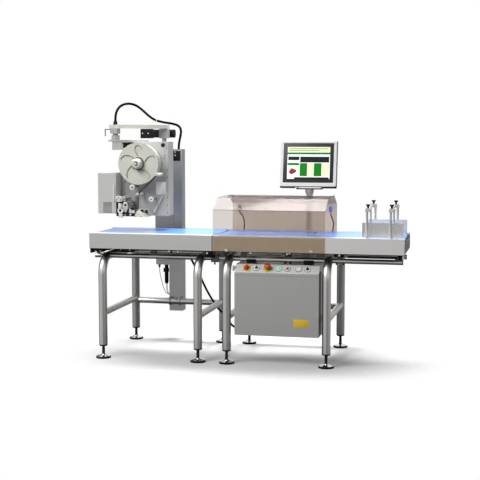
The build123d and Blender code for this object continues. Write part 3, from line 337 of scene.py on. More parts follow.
# %% The metals, paints, plastics, rubbers and clear sheets of this machine
# each row: the real stuff, its colour and roughness, the grain's size in mm, how far it swings the
# shade and how high it stands in mm, then metallic, the grain's stretch, how far it swings the
# roughness, gloss and coat
FINISHES = {
    # brushed 304 sheet: dull lines along the rolling direction spread the highlights
    "sheet_x": ("brushed stainless sheet", "#d4d4d3", 0.36, 1.6, 0.03, 0.01, 1.0, LINES_X, 0.07),
    # the weigher's frame is the same steel made paler, painted light; the head's bare plate is pale in its own
    # right
    "sheet_pale": ("brushed stainless sheet, weigher", "#eae9e9", 0.36, 1.6, 0.03, 0.01, 1.0, LINES_X, 0.07),
    "panel_z": ("brushed stainless panel", "#bfbfbd", 0.42, 1.8, 0.03, 0.01, 1.0, LINES_Z, 0.07),
    # ground and satin-polished tube: brighter, with soft long highlights
    "tube": ("satin polished stainless tube", "#dad9d7", 0.36, 3.0, 0.03, 0.01, 1.0),
    # the rear legs are the same tube, painted darker for the shade under the tables
    "tube_rear_shaded": ("satin stainless tube, rear frame", "#b6b5b3", 0.42, 3.0, 0.03, 0.01, 1.0),
    # the folded top edges of the frames get a pale, half-metallic strip: a painted highlight of the light above
    "edge_steel": ("stainless edge, painted highlight", "#e2e3e8", 0.3, 2.0, 0.02, 0.005, 0.2, LINES_X),
    # the desk's slope gets a lighter, less metallic copy of the stainless, painted light; the rear guide shares it
    "desk_sheet": ("satin stainless desk, painted lighter", "#dededd", 0.4, 1.6, 0.02, 0.01, 0.3, LINES_X),
    "column": ("brushed stainless column", "#b9bbbe", 0.4, 2.0, 0.03, 0.01, 1.0, LINES_Z, 0.06),
    "pole_tube": ("satin stainless pole", "#b4b4b6", 0.42, 2.0, 0.03, 0.01, 0.5, LINES_Z),
    # turned and chromed parts are near mirrors; blackened steel only glints at its edges
    "turned": ("turned stainless", "#cfcfcf", 0.18, 0.9, 0.02, 0.01, 1.0, LINES_X),
    "chrome": ("chromed steel", "#e2e2e2", 0.08, 9.0, 0.01, 0.002, 1.0, EVEN, 0.03),
    "dark_steel": ("blackened steel", "#2b2b2b", 0.42, 3.0, 0.1, 0.02, 0.6, EVEN, 0.08),
    # textured powder coat: a fine orange peel that breaks the gloss
    "head_paint": ("grey powder coat", "#cacac8", 0.48, 1.4, 0.02, 0.03),
    "plate_paint": ("satin grey enamel", "#b1b1b0", 0.5, 2.4, 0.03, 0.01, 0.0, LINES_Z),
    # anodised and zinc plates are flat and dull, with no orange peel
    "pale_plate": ("pale anodised plate", "#cfcfd2", 0.4, 2.0, 0.02, 0.01, 0.2, LINES_X),
    # the grey zinc also serves as painted shade on the print bay and the infeed end, and the dark zinc, the dancer
    # arm's own finish, as painted shade on the cabinet's side and under the belts
    "shade_plate": ("grey zinc plate and painted shade", "#6c6b6a", 0.45, 2.0, 0.05, 0.01, 0.3),
    "shade_steel": ("dark zinc and painted shade", "#3c3b3a", 0.5, 3.0, 0.05, 0.01, 0.4),
    "lead_blue": ("blue PVC leads", "#4d5a86", 0.45, 1.5, 0.05, 0.02, 0.0, EVEN, 0.06),
    "shade_line": ("shaded moulding edge", "#68665f", 0.5, 3.0, 0.02),
    # a polished casting glints; enamel over steel is smooth and half bright
    "polished": ("polished zinc casting", "#d9d9d6", 0.22, 6.0, 0.02, 0.01, 0.6, EVEN, 0.04),
    "cream_paint": ("cream enamel", "#dcdcd2", 0.4, 2.0, 0.02, 0.02),
    "beam_paint": ("cream enamel over grey blocks", "#dcdcd2", 0.4, 2.0, 0.02, 0.02),
    # moulded plastics have an even satin skin; the black ones are textured, which kills the gloss
    "ivory": ("moulded ivory ABS", "#d8d8ce", 0.36, 3.0, 0.015),
    "white_plastic": ("moulded white ABS", "#ebecec", 0.34, 2.0, 0.01),
    "black_plastic": ("moulded black nylon", "#151516", 0.5, 1.2, 0.1, 0.03, 0.0, EVEN, 0.08, 0.2),
    "bezel": ("satin black glass-fibre bezel", "#35373a", 0.4, 1.2, 0.04, 0.01, 0.0, EVEN, 0.05, 0.25),
    "red_plastic": ("moulded red polycarbonate", "#c8382c", 0.3),
    "yellow_plastic": ("moulded yellow nylon", "#dcc02c", 0.42, 2.0, 0.03, 0.02),
    "green_dark": ("moulded dark green polycarbonate", "#2d6f5e", 0.32),
    "yellow_plate": ("printed yellow vinyl plate", "#f3c628", 0.46, 2.0, 0.03, 0.01, 0.0, EVEN, 0.04),
    # polyurethane food belt: a smooth glossy skin over a fine weave
    "belt": ("blue polyurethane belt", "#5f9cff", 0.34, 2.2, 0.04, 0.006, 0.0, (1, 0.25, 1), 0.04, 0.5, 0.35),
    # sheaths, rubbers and paper are matt: they show their shape by shade alone
    "cable": ("black PVC cable sheath", "#090909", 0.6, 1.5, 0.08, 0.02, 0.0, EVEN, 0.08, 0.1),
    "lead_grey": ("grey PVC lead", "#a9aaab", 0.45, 1.5, 0.05, 0.02, 0.0, EVEN, 0.06),
    "rubber": ("black moulded rubber", "#0b0b0b", 0.7, 1.5, 0.1, 0.04, 0.0, EVEN, 0.08, 0.25),
    "silicone": ("white silicone rubber", "#e7e7e2", 0.5, 1.5, 0.03, 0.03, 0.0, EVEN, 0.06),
    "paper_roll": ("wound label paper", "#f0f0ee", 0.62, 0.8, 0.03, 0.03, 0.0, (0.2, 1, 0.2)),
    "sensor_blue": ("moulded blue sensor housing", "#4a70e0", 0.32, 2.0),
}
MATERIALS = {finish: surface(*values) for finish, values in FINISHES.items()}


def stepped(tree, source, steps):
    """Colours that change at given heights or lengths in metres, from a coordinate."""
    ramp = add_node(tree, "ValToRGB", {}, {0: source})
    ramp.color_ramp.interpolation = "CONSTANT"
    ramp.color_ramp.elements.remove(ramp.color_ramp.elements[1])
    for k, (start, colour) in enumerate(steps):
        stop = ramp.color_ramp.elements[0] if k == 0 else ramp.color_ramp.elements.new(start)
        stop.position, stop.color = start, srgb(colour)
    return ramp


SHEET_TOP, SHEET_IOR, THIN_IOR, SHEET_GRAIN, BEAM_FOOT = 1.3, 1.3, 1.002, 240.0, 1.633


def clear_sheet(name, steps, clear=1.0, level_from=2.0):
    """Tinted acrylic: light passes with the tint of its height; from level_from up it is fully clear."""
    made, tree = new_material(name)
    noise = grain(tree, EVEN, SHEET_GRAIN)
    height = height_of(tree)
    reach = add_node(tree, "MapRange", {"From Min": 0.0, "From Max": SHEET_TOP}, {"Value": height})
    tint = stepped(tree, reach, [(z / SHEET_TOP, colour) for z, colour in steps])
    level = add_node(tree, "Math", {"operation": "LESS_THAN", 1: level_from}, {0: height})
    bend = add_node(tree, "Math", {"operation": "MULTIPLY_ADD", 1: SHEET_IOR - THIN_IOR, 2: THIN_IOR}, {0: level})
    passed = add_node(tree, "Math", {"operation": "MULTIPLY_ADD", 1: clear - 1.0, 2: 1.0}, {0: level})
    skin = add_node(tree, "BsdfPrincipled", {}, {
        "Base Color": tint.outputs["Color"], "IOR": bend, "Transmission Weight": passed,
        "Roughness": ranged(tree, noise, 0.024, 0.056)})
    add_node(tree, "OutputMaterial", {}, {"Surface": skin})
    return made


# the flap's sheet is deepest over the steel, partly its own tint and partly painted shade on the steel behind;
# lighter over the belt; clear on its slope, a painted reflection of the light above
MATERIALS["hood_flap"] = clear_sheet("bronze tinted acrylic sheet", (
    (0.0, "#c8bdae"), (0.888, "#d9d3cd"), (1.076, "#efe7e6")))
# the rear cover is milky: half of it is dull, so what stands behind it shows faintly; its level
# top is seen edge on, where a mirror of the white room would hide the tint
MATERIALS["hood_cover"] = clear_sheet("light smoke acrylic sheet", (
    (0.0, "#e6dcd4"), (1.087, "#c4bab5"), (1.1505, "#dedad6")), clear=0.5, level_from=1.1505)


def glow(name, colour, strength):
    made, tree = new_material(name)
    noise = grain(tree, EVEN, 3.0)
    skin = add_node(tree, "BsdfPrincipled",
                    {"Base Color": srgb(colour), "Emission Color": srgb(colour), "Emission Strength": strength,
                     "Specular IOR Level": 0.1},
                    {"Roughness": ranged(tree, noise, 0.25, 0.4)})
    add_node(tree, "OutputMaterial", {}, {"Surface": skin})
    return made


def second_colour(name, code, where):
    """Lay a second colour over a finish wherever the output that where() makes is 1."""
    tree = MATERIALS[name].node_tree
    skin = next(n for n in tree.nodes if n.type == "BSDF_PRINCIPLED")
    first = skin.inputs["Base Color"].links[0].from_socket
    both = add_node(tree, "MixRGB", {"Color2": srgb(code)}, {"Fac": where(tree), "Color1": first})
    tree.links.new(both.outputs[0], skin.inputs["Base Color"])


def below_beam(tree):
    return add_node(tree, "Math", {"operation": "LESS_THAN", 1: BEAM_FOOT}, {0: height_of(tree)})


# the beam is cream and the blocks below it are grey; the belt throws less blue than it shows
second_colour("beam_paint", "#b2b2b0", below_beam)
second_colour("belt", "#b9bfc8", lambda tree: add_node(tree, "LightPath").outputs["Is Diffuse Ray"])
MATERIALS["lamp_green"] = glow("lit green lens", "#3fd08a", 0.6)
print(len(MATERIALS), "materials")

# %% Give every carried-over node its finish
NODE_FINISH = {
    "tube": "front_legs frame_rails stretchers guide_posts",
    "pole_tube": "display_pole display_swivel",
    "tube_rear_shaded": "rear_legs", "shade_plate": "rail_fittings clamp_lever",
    "sheet_x": "outfeed_frame weigh_platform front_guide", "sheet_pale": "weigher_frame",
    "desk_sheet": "rear_guide",
    "panel_z": "cabinet_shell cabinet_panel",
    "column": "column", "chrome": "foot_pads", "dark_steel": "foot_spindles",
    "turned": "outfeed_drive_roller outfeed_tail_roller infeed_drive_roller infeed_tail_roller "
              "weigh_drive_roller weigh_tail_roller upper_roller lower_roller feed_wheel",
    "head_paint": "side_box print_unit", "plate_paint": "head_housing", "beam_paint": "lift_arm",
    "ivory": "reel", "paper_roll": "label_roll", "silicone": "print_roller",
    "black_plastic": "lift_motor lift_connector control_collars mode_selector front_knob_left "
                     "front_knob_right rear_knob_left rear_knob_right",
    "red_plastic": "main_switch emergency_stop stop_button", "green_dark": "power_selector",
    "shade_steel": "dancer_arm", "lamp_green": "start_button", "white_plastic": "reset_button display_housing",
    "belt": "conveyor_belts", "sensor_blue": "product_sensors",
    "hood_flap": "hood_flap", "hood_cover": "hood_cover",
}


def dress(piece, finish):
    piece.data.materials.clear()
    piece.data.materials.append(MATERIALS[finish])


for finish, names in NODE_FINISH.items():
    for name in names.split():
        dress(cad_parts[name], finish)
for name, piece in cord_pieces.items():
    dress(piece, "lead_grey" if name == "lift_lead" else "cable")
print("dressed", sum(len(names.split()) for names in NODE_FINISH.values()), "nodes")

# %% [markdown]
# Small pieces are built in mesh code. Each is drawn in drawing millimetres, moved once
# into the row's frame, bevelled so that its edges catch light, and then set to ride on
# the body that carries it. A few builders are enough: a block, a turned shape, a prism
# with any outline, and a tube along a path.

# %% Mesh builders
TURN_STEPS, BEVEL_FROM, SHARP_FROM = 40, math.radians(50), math.radians(32)
IDENTITY, UP, FRONT = Matrix.Identity(4), (0, 0, 1), (0, -1, 0)


def add_block(mesh, x, y, z, place=IDENTITY):
    """A box between pairs of x, y and z."""
    made = bmesh.ops.create_cube(mesh, size=1)["verts"]
    size = Matrix.Diagonal((x[1] - x[0], y[1] - y[0], z[1] - z[0], 1))
    middle = Matrix.Translation((sum(x) / 2, sum(y) / 2, sum(z) / 2))
    bmesh.ops.transform(mesh, matrix=place @ middle @ size, verts=made)


def axis_frame(start, direction):
    """A frame whose z runs along direction from start."""
    turn = Vector(direction).normalized().to_track_quat("Z", "Y").to_matrix().to_4x4()
    return Matrix.Translation(start) @ turn


def circle(mesh, frame_at, radius, height, steps):
    """A ring of points, or one point where the radius is nothing."""
    angles = [2 * math.pi * k / steps for k in range(steps)] if radius else [0]
    places = [Vector((radius * math.cos(a), radius * math.sin(a), height)) for a in angles]
    return [mesh.verts.new(frame_at @ place) for place in places]


def bridge(mesh, rings, steps):
    """Faces from each ring to the next; a ring of one point gets triangles."""
    for low, high in zip(rings, rings[1:]):
        for k in range(steps):
            n = (k + 1) % steps
            corners = [low[k % len(low)], low[n % len(low)], high[n % len(high)], high[k % len(high)]]
            face = list(dict.fromkeys(corners))
            if len(face) > 2:
                mesh.faces.new(face)


def add_turned(mesh, profile, start, direction=UP, steps=TURN_STEPS, place=IDENTITY):
    """A solid of revolution: profile is a list of (radius, height) from pole to pole."""
    frame_at = place @ axis_frame(start, direction)
    bridge(mesh, [circle(mesh, frame_at, radius, height, steps) for radius, height in profile], steps)


def add_rod(mesh, start, end, radius, steps=24):
    """A round bar with closed ends."""
    along = Vector(end) - Vector(start)
    add_turned(mesh, [(0, 0), (radius, 0), (radius, along.length), (0, along.length)], start, along, steps)


def add_prism(mesh, outline, low, high, place=IDENTITY):
    """An outline of (x, z) points with a thickness from y = low to y = high."""
    ends = [[mesh.verts.new(place @ Vector((x, y, z))) for x, z in outline] for y in (low, high)]
    mesh.faces.new(ends[0])
    mesh.faces.new(list(reversed(ends[1])))
    count = len(outline)
    for k in range(count):
        n = (k + 1) % count
        mesh.faces.new([ends[0][n], ends[0][k], ends[1][k], ends[1][n]])


def add_tube(mesh, points, radius, steps=12):
    """A round tube through points, with closed ends."""
    points = [Vector(p) for p in points]
    ways = [after - before for before, after in zip(points[:1] + points, points[1:] + points[-1:])]
    rings = [circle(mesh, axis_frame(point, way), radius, 0, steps) for point, way in zip(points, ways)]
    bridge(mesh, rings, steps)
    mesh.faces.new(list(reversed(rings[0])))
    mesh.faces.new(rings[-1])


def finish_piece(name, data, finish, body, smooth=True):
    """Turn a mesh into an object that shades well, takes its finish and rides on its body."""
    if smooth:
        data.shade_smooth()
        data.set_sharp_from_angle(angle=SHARP_FROM)
    piece = link_new(name, data)
    dress(piece, finish)
    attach(piece, body)
    made_pieces.append(name)
    return piece


def make_piece(name, finish, body, bevel_mm, *shapes, smooth=True):
    """A piece from shapes in drawing millimetres. A shape is a box, given by its pairs of x, y
    and z, or else a builder and what that takes."""
    mesh = bmesh.new()
    for shape in shapes:
        add, *values = shape if callable(shape[0]) else (add_block, *shape)
        add(mesh, *values)
    bmesh.ops.recalc_face_normals(mesh, faces=mesh.faces)
    if bevel_mm:
        sharp = [e for e in mesh.edges if len(e.link_faces) == 2 and e.calc_face_angle(0) > BEVEL_FROM]
        bmesh.ops.bevel(mesh, geom=sharp, offset=bevel_mm, segments=2, affect="EDGES", profile=0.5,
                        clamp_overlap=True)
    bmesh.ops.transform(mesh, matrix=Matrix.Translation(at(0, 0, 0)) @ Matrix.Scale(MM, 4), verts=mesh.verts)
    data = bpy.data.meshes.new(name)
    mesh.to_mesh(data)
    mesh.free()
    return finish_piece(name, data, finish, body, smooth)


def make_pieces(body, *rows):
    """Pieces that ride on one body; a row is a name, a finish, a bevel in mm and the shapes."""
    for name, finish, bevel_mm, *shapes in rows:
        make_piece(name, finish, body, bevel_mm, *shapes)


made_pieces = []
SLOTS = {finish: slot for slot, finishes in {
    "stainless": "column sheet_pale edge_steel pole_tube desk_sheet",
    "roller_steel": "turned polished", "foot_metal": "chrome", "black_steel": "dark_steel shade_steel",
    "head_paint": "head_paint cream_paint pale_plate shade_plate", "cable": "lead_blue",
    "reel_plastic": "shade_line", "white_plastic": "white_plastic yellow_plastic yellow_plate",
    "black_plastic": "black_plastic bezel", "red_plastic": "red_plastic", "print_rubber": "rubber",
    "sensor_blue": "sensor_blue",
}.items() for finish in finishes.split()}

# %% [markdown]
# Screws repeat all over the machine. A Geometry Nodes tree stands one head on every point
# of a point cloud and turns it along the point's own "facing" direction. Sizes are named
# inputs, so that one tree serves cap screws, rivets and fine pins.

# %% The screw tree
screw_tree = bpy.data.node_groups.new("heads on points", "GeometryNodeTree")
screw_tree.interface.new_socket("Geometry", in_out="OUTPUT", socket_type="NodeSocketGeometry")
for name, kind, value in (("Geometry", "Geometry", None), ("Radius", "Float", 0.003),
                          ("Height", "Float", 0.002), ("Sides", "Int", 20), ("Finish", "Material", None)):
    socket = screw_tree.interface.new_socket(name, in_out="INPUT", socket_type="NodeSocket" + kind)
    if value is not None:
        socket.default_value = value
given = add_node(screw_tree, "NodeGroupInput").outputs
crown = add_node(screw_tree, "Math", {"operation": "MULTIPLY", 1: 0.72}, {0: given["Radius"]})
wide = add_node(screw_tree, "GeometryNodeMeshCone", {}, {
    "Vertices": given["Sides"], "Radius Bottom": given["Radius"], "Radius Top": crown,
    "Depth": given["Height"]})
facing = add_node(screw_tree, "GeometryNodeInputNamedAttribute",
                  {"data_type": "FLOAT_VECTOR", "Name": "facing"})
turned_to = add_node(screw_tree, "FunctionNodeAlignRotationToVector", {"axis": "Z"}, {"Vector": facing})
stood = add_node(screw_tree, "GeometryNodeInstanceOnPoints", {}, {
    "Points": given["Geometry"], "Instance": wide, "Rotation": turned_to})
real = add_node(screw_tree, "GeometryNodeRealizeInstances", {}, {"Geometry": stood})
coated = add_node(screw_tree, "GeometryNodeSetMaterial", {}, {"Geometry": real, "Material": given["Finish"]})
add_node(screw_tree, "NodeGroupOutput", {}, {"Geometry": coated})


def add_heads(name, places, radius_mm, height_mm, finish, body, sides=20):
    """Screw heads or dots that face the front: the tree runs once on lone points."""
    points = bpy.data.meshes.new("places")
    points.from_pydata([tuple(at(*place)) for place in places], [], [])
    for item in points.attributes.new("facing", "FLOAT_VECTOR", "POINT").data:
        item.vector = FRONT
    holder = link_new(name + "_points", points)
    modifier = holder.modifiers.new(screw_tree.name, "NODES")
    modifier.node_group = screw_tree
    values = {"Radius": radius_mm * MM, "Height": height_mm * MM, "Sides": sides, "Finish": MATERIALS[finish]}
    for item in screw_tree.interface.items_tree:
        if item.name in values:
            modifier[item.identifier] = values[item.name]
    finish_piece(name, plain_mesh(holder), finish, body)


print("builders ready")

# %% [markdown]
# The labelling head. The reel and the rollers come from the frame; the bearing cover, the
# nameless plate, screws and roller ends are added here. The head's front plate lies at
# y 320, the side box's front at y 200 and the print bay's front at y 186.

# %% Plates, covers and screws on the head
HEAD_FACE, BOX_FACE, BAY_FACE = 320, 200, 186
REEL_X, REEL_Z, REEL_FACE, HUB_FACE = 204, 1366, 206, 150


def disc(mesh, x, z, y, radius, thick):
    """A round plate facing the front, with a softened rim."""
    add_turned(mesh, [(0, 0), (radius, 0), (radius, thick - 1), (radius - 1, thick), (0, thick)],
               (x, y, z), FRONT, 40)


marks = [((x - 3, x + 3), (HEAD_FACE - 0.6, HEAD_FACE + 1), (z - high / 2, z + high / 2))
         for x, z, high in ((383, 1476, 6), (371, 1424, 9), (371, 1402, 9), (372, 1455, 4))]
make_pieces(
    "head",
    ("head_bearing_cover", "black_plastic", 0, (
        add_turned, [(0, 0), (15, 0), (15, 2), (13, 3), (11, 1.5), (0, 1.5)],
        (358, HEAD_FACE, 1497), FRONT, 32), *marks),
    ("head_bare_plate", "sheet_pale", 0.6, ((303, 380), (HEAD_FACE - 2, HEAD_FACE), (1139, 1231))),
    # a black block in the head's top-left corner is painted shade under the top plate
    ("head_corner_guard", "black_plastic", 0.8, ((56, 136), (HEAD_FACE - 8, HEAD_FACE - 1), (1476, 1516)),
     ((60, 120), (HEAD_FACE - 40, HEAD_FACE - 8), (1508, 1517))),
    ("side_box_rod", "white_plastic", 0.8, (add_rod, (24, BOX_FACE - 6, 1096), (24, BOX_FACE - 6, 1216), 5),
     *(((18, 30), (BOX_FACE - 6, BOX_FACE), (z, z + 8)) for z in (1104, 1202))),
    # a dark plate behind the vent slots is painted shade inside the box
    ("side_box_vent_back", "dark_steel", 0, ((-64, 7), (BOX_FACE + 3.2, BOX_FACE + 5), (1006, 1092))))
make_pieces(
    "reel",
    ("reel_centre", "dark_steel", 0, (disc, REEL_X, REEL_Z, HUB_FACE, 15, 3)),
    ("reel_boss", "polished", 0.6, (disc, REEL_X - 4, REEL_Z, HUB_FACE - 1.4, 12, 2)))
edge_screws = [(388, HEAD_FACE, z) for z in (1008, 1062, 1118, 1262, 1318)]
edge_screws += [(66, HEAD_FACE, z) for z in (1140, 1230)]
add_heads("head_screws", edge_screws, 4.0, 2.6, "dark_steel", "head")
box_screws = [(x, BOX_FACE, z) for x in (-90, 28) for z in (1012, 1288)]
add_heads("side_box_screws", box_screws, 3.5, 2.2, "chrome", "head")

# %% [markdown]
# Each leaf on the reel has a dark upper edge where its pocket falls in shade. Points on a
# leaf's outline are read from the same radii and angles as the pocket.

# %% Leaf edges, roller ends and sleeves
LEAF = ((52, -36), (66, -30), (87, -23), (104, -17), (118, -11), (130, -3), (134, 2), (128, 8), (110, 12.5),
        (96, 13), (82, 12.7), (66, 7), (52, 0), (50, -18), (52, -36))
EDGES = ((0, 3, 13), (1, 0, 8), (4, 5, 13), (2, 0, 6), (2, 11, 15), (3, 5, 15))


def leaf_edge(leaf, first, last):
    """The points of one leaf's outline, just above the reel's face."""
    turns = [(radius, math.radians(90 + 72 * leaf + angle)) for radius, angle in LEAF[first:last]]
    return [(REEL_X + radius * math.cos(a), REEL_FACE + 0.4, REEL_Z + radius * math.sin(a)) for radius, a in turns]


make_pieces(
    "reel",
    ("reel_leaf_edges", "shade_line", 0, *((add_tube, leaf_edge(*edge), 1.8, 8) for edge in EDGES)),
    # a dark ring round the hub in the shaded-edge finish is painted shade
    ("reel_hub_ring", "shade_line", 0,
     (add_turned, [(38, 0), (38, 2.5), (46, 2.5), (47, 0)], (REEL_X, REEL_FACE, REEL_Z), FRONT, 64)))
# each roller end is a white sleeve with a dark cap on its front
for name, body, x, z, radius, start, end in (
    ("arm_roller", "dancer_arm", 205, 1148, 10.5, 182, 302),
    ("arm_pivot", "dancer_arm", 352, 1288, 11.6, 184, 318),
    ("upper_roller", "upper_roller", 154, 1195, 20, 217, 228),
    ("lower_roller", "lower_roller", 296, 1110, 18, 217, 228),
):
    make_pieces(body, (name + "_sleeve", "white_plastic", 0.8, (add_rod, (x, start, z), (x, end, z), radius)),
                (name + "_cap", "dark_steel", 0.4, (disc, x, z, start, radius * 0.3, 3)))
print("head pieces", len(made_pieces))

# %% [markdown]
# The print bay hangs at the head's foot. In front of the unit's cheek stand a black side
# plate, a beige bracket, a pale pressure roller above its white end disc, a polished cam,
# and the ivory block that peels the label, with its dark screws.

# %% Print bay
make_pieces(
    "head",
    ("print_bay_side", "black_plastic", 0.6, (
        add_prism, [(44, 987), (184, 987), (184, 1008), (138, 1012), (138, 1078), (120, 1100), (98, 1096),
                    (44, 1090)], BAY_FACE - 3, BAY_FACE + 0.5),
     (disc, 77, 1028, BAY_FACE - 12, 9, 3), (disc, 117, 1069, BAY_FACE - 13, 9, 2),
     ((228, 242), (BAY_FACE - 4, BAY_FACE + 20), (1022, 1036)),
     ((260, 276), (BAY_FACE - 2, BAY_FACE + 20), (1014, 1034))),
    ("print_bay_bracket", "cream_paint", 1.0, (
        add_prism, [(38, 1100), (38, 1118), (47, 1132), (84, 1132), (92, 1112), (89, 1094), (60, 1088)],
        BAY_FACE - 8, BAY_FACE + 12), ((64, 94), (BAY_FACE - 12, BAY_FACE), (976, 1006))),
    # the holes are black discs: painted shade inside them
    ("print_bay_holes", "black_plastic", 0, *(
        (disc, x, z, BAY_FACE - 8, radius, 1.5)
        for x, z, radius in ((47, 1106, 4.5), (64, 1120, 4), (80, 1106, 4)))),
    ("print_bay_rollers", "white_plastic", 0.8,
     (add_rod, (75, BAY_FACE - 10, 1042), (75, BAY_FACE - 10, 1080), 12.5),
     (add_turned, [(0, 0), (21, 0), (22, 2), (22, 7), (20, 9), (0, 9)], (77, BAY_FACE - 3, 1028), FRONT, 40),
     ((168, 181), (BAY_FACE - 6, BAY_FACE), (1014, 1032))),
    ("print_cam", "polished", 1.0, (
        add_prism, [(98, 1078), (104, 1088), (116, 1092), (130, 1086), (137, 1070), (136, 1046), (127, 1026),
                    (117, 1013), (106, 1026), (97, 1046), (95, 1064)], BAY_FACE - 13, BAY_FACE - 6),
     (disc, 152, 999, BAY_FACE - 3, 8, 8), (disc, 112, 996, BAY_FACE - 3, 6, 4)),
    ("peel_block", "cream_paint", 1.2, (
        add_prism, [(179, 984), (210, 1033), (219, 1032), (251, 1013), (270, 1008), (283, 984)],
        BAY_FACE - 8, BAY_FACE + 18)),
    ("print_bay_shade_plates", "shade_plate", 0.6, ((147, 167), (HEAD_FACE - 12, HEAD_FACE - 2), (1030, 1126)),
     (add_tube, [(x, HEAD_FACE - 20, z) for x, z in ((100, 1052), (122, 1054), (148, 1062))], 3),
     ((92, 146), (HEAD_FACE - 30, HEAD_FACE - 24), (1020, 1044))),
    ("print_bay_posts", "turned", 0.5, *(
        (add_rod, (x, BAY_FACE + 30, z), (x, HEAD_FACE, z), 5)
        for x, z in ((104, 1108), (134, 1086), (160, 1010)))))
peel_screws = [(x, BAY_FACE - 8, z) for x, z in ((192, 989), (211, 1003), (231, 988), (262, 1000))]
add_heads("peel_block_screws", peel_screws, 3.5, 2.5, "dark_steel", "head")
print("print bay done,", len(made_pieces), "pieces so far")

# %% [markdown]
# The touch screen leans back by ten degrees. Its pieces are drawn in a frame of their own
# that lies in the housing's lower edge, and one matrix leans them. The picture is a bare
# layout of panels with no words: header, bars, keys and a product patch.

# %% Touch screen
LEAN = Matrix.Translation((0, 574, 1191)) @ Matrix.Rotation(math.radians(-10), 4, "X")
BEZEL_X, BEZEL_Z, GLASS_Y = (1201, 1570), (27, 317), -50.0
SCREEN_POLE = (1388, 600)


def screen_x(share):
    return BEZEL_X[0] + share * (BEZEL_X[1] - BEZEL_X[0])


def screen_z(share):
    return BEZEL_Z[1] - share * (BEZEL_Z[1] - BEZEL_Z[0])


def panel(left, right, top, bottom, layer):
    """A flat patch of the picture; edges are shares of the bezel's width and height."""
    return ((screen_x(left), screen_x(right)), (GLASS_Y - 1.3 - 0.25 * layer, GLASS_Y - 0.4),
            (screen_z(bottom), screen_z(top)), LEAN)


# each part of the picture: its colour and glow, then its panels
PICTURE = {
    "white": ("#f1f3ee", 0.42, [(0.081, 0.928, 0.098, 0.906, 0)]),
    "cream": ("#ece6c6", 0.36, [(0.081, 0.928, 0.098, 0.227, 1), (0.486, 0.604, 0.508, 0.836, 1),
                                (0.769, 0.912, 0.508, 0.836, 1)]),
    "pale_green": ("#8fc088", 0.28, [(0.120, 0.880, 0.134, 0.155, 2), (0.120, 0.700, 0.180, 0.200, 2)]),
    "green": ("#16801c", 0.30, [(0.081, 0.928, 0.239, 0.286, 1), (0.090, 0.319, 0.504, 0.560, 1),
                                (0.333, 0.478, 0.508, 0.836, 1), (0.613, 0.762, 0.508, 0.836, 1)]),
    "slate": ("#23292d", 0.10, [(0.099, 0.319, 0.344, 0.433, 1), (0.337, 0.910, 0.344, 0.489, 1),
                                (0.225, 0.910, 0.864, 0.906, 1)]),
    "clay": ("#8e3f3c", 0.26, []),
}
for part, (colour, strength, patches) in PICTURE.items():
    MATERIALS["picture_" + part] = glow("lit screen, " + part, colour, strength)
    SLOTS["picture_" + part] = "black_plastic"

pole_x, pole_y = SCREEN_POLE
make_pieces(
    "display",
    ("screen_bezel", "bezel", 0.4, (BEZEL_X, (GLASS_Y - 1.0, GLASS_Y + 0.5), BEZEL_Z, LEAN)),
    ("screen_back_shell", "bezel", 3.0, ((1178.4, 1592.6), (-45, 0.6), (-0.6, 334.4), LEAN)),
    # black blocks along the screen's lower edge are painted shade on its underside
    ("screen_underside", "black_plastic", 0.6,
     *((x, (-49, 0), (-8.0, -0.7), LEAN) for x in ((1181, 1288), (1488, 1590)))))
make_pieces(
    "display_swivel",
    ("tilt_plate_cover", "black_plastic", 0.8, ((pole_x - 97, pole_x + 97), (584, 600), (1175, 1183.4))),
    ("pole_collar", "pole_tube", 0.6, (
        add_turned, [(26.4, 1150), (29, 1150), (31, 1153), (31, 1174), (26.4, 1174), (26.4, 1150)],
        (pole_x, pole_y, 0), UP, 48)))
for part, (colour, strength, patches) in PICTURE.items():
    if patches:
        make_piece("screen_picture_" + part, "picture_" + part, "display", 0,
                   *(panel(*patch) for patch in patches), smooth=False)
turns = [2 * math.pi * k / 24 for k in range(24)]
make_piece("screen_product_patch", "picture_clay", "display", 0, (
    add_prism, [(screen_x(0.192) + 26 * math.cos(a) * (1 + 0.18 * math.sin(2 * a)),
                 screen_z(0.715) + 20 * math.sin(a) * (1 + 0.2 * math.cos(3 * a))) for a in turns],
    GLASS_Y - 1.9, GLASS_Y - 0.6, LEAN), smooth=False)
print("screen done,", len(made_pieces), "pieces so far")

# %% [markdown]
# The desk carries seven controls in one row. Each gets a bright ring under its head, and
# the emergency stop and the main switch get the yellow collar and plate that safety rules
# ask for. A matrix stands every control square to the slope.

# %% Desk controls
CONTROL_X = {"main": 1050, "power": 1119, "emergency": 1198, "start": 1275, "stop": 1335, "reset": 1414,
             "mode": 1474}
DESK_FOOT, DESK_LEAN = (-4.45, 657.1), math.atan2(55.7, 59)
DESK_MIDDLE, DESK_ENDS = 1262, (970, 1555)


def on_desk(x):
    return Matrix.Translation((x, *DESK_FOOT)) @ Matrix.Rotation(DESK_LEAN, 4, "X")


def desk_turned(profile, *controls):
    """One turned shape under or on each of the controls."""
    return [(add_turned, profile, (0, 0, 0), UP, TURN_STEPS, on_desk(CONTROL_X[name])) for name in controls]


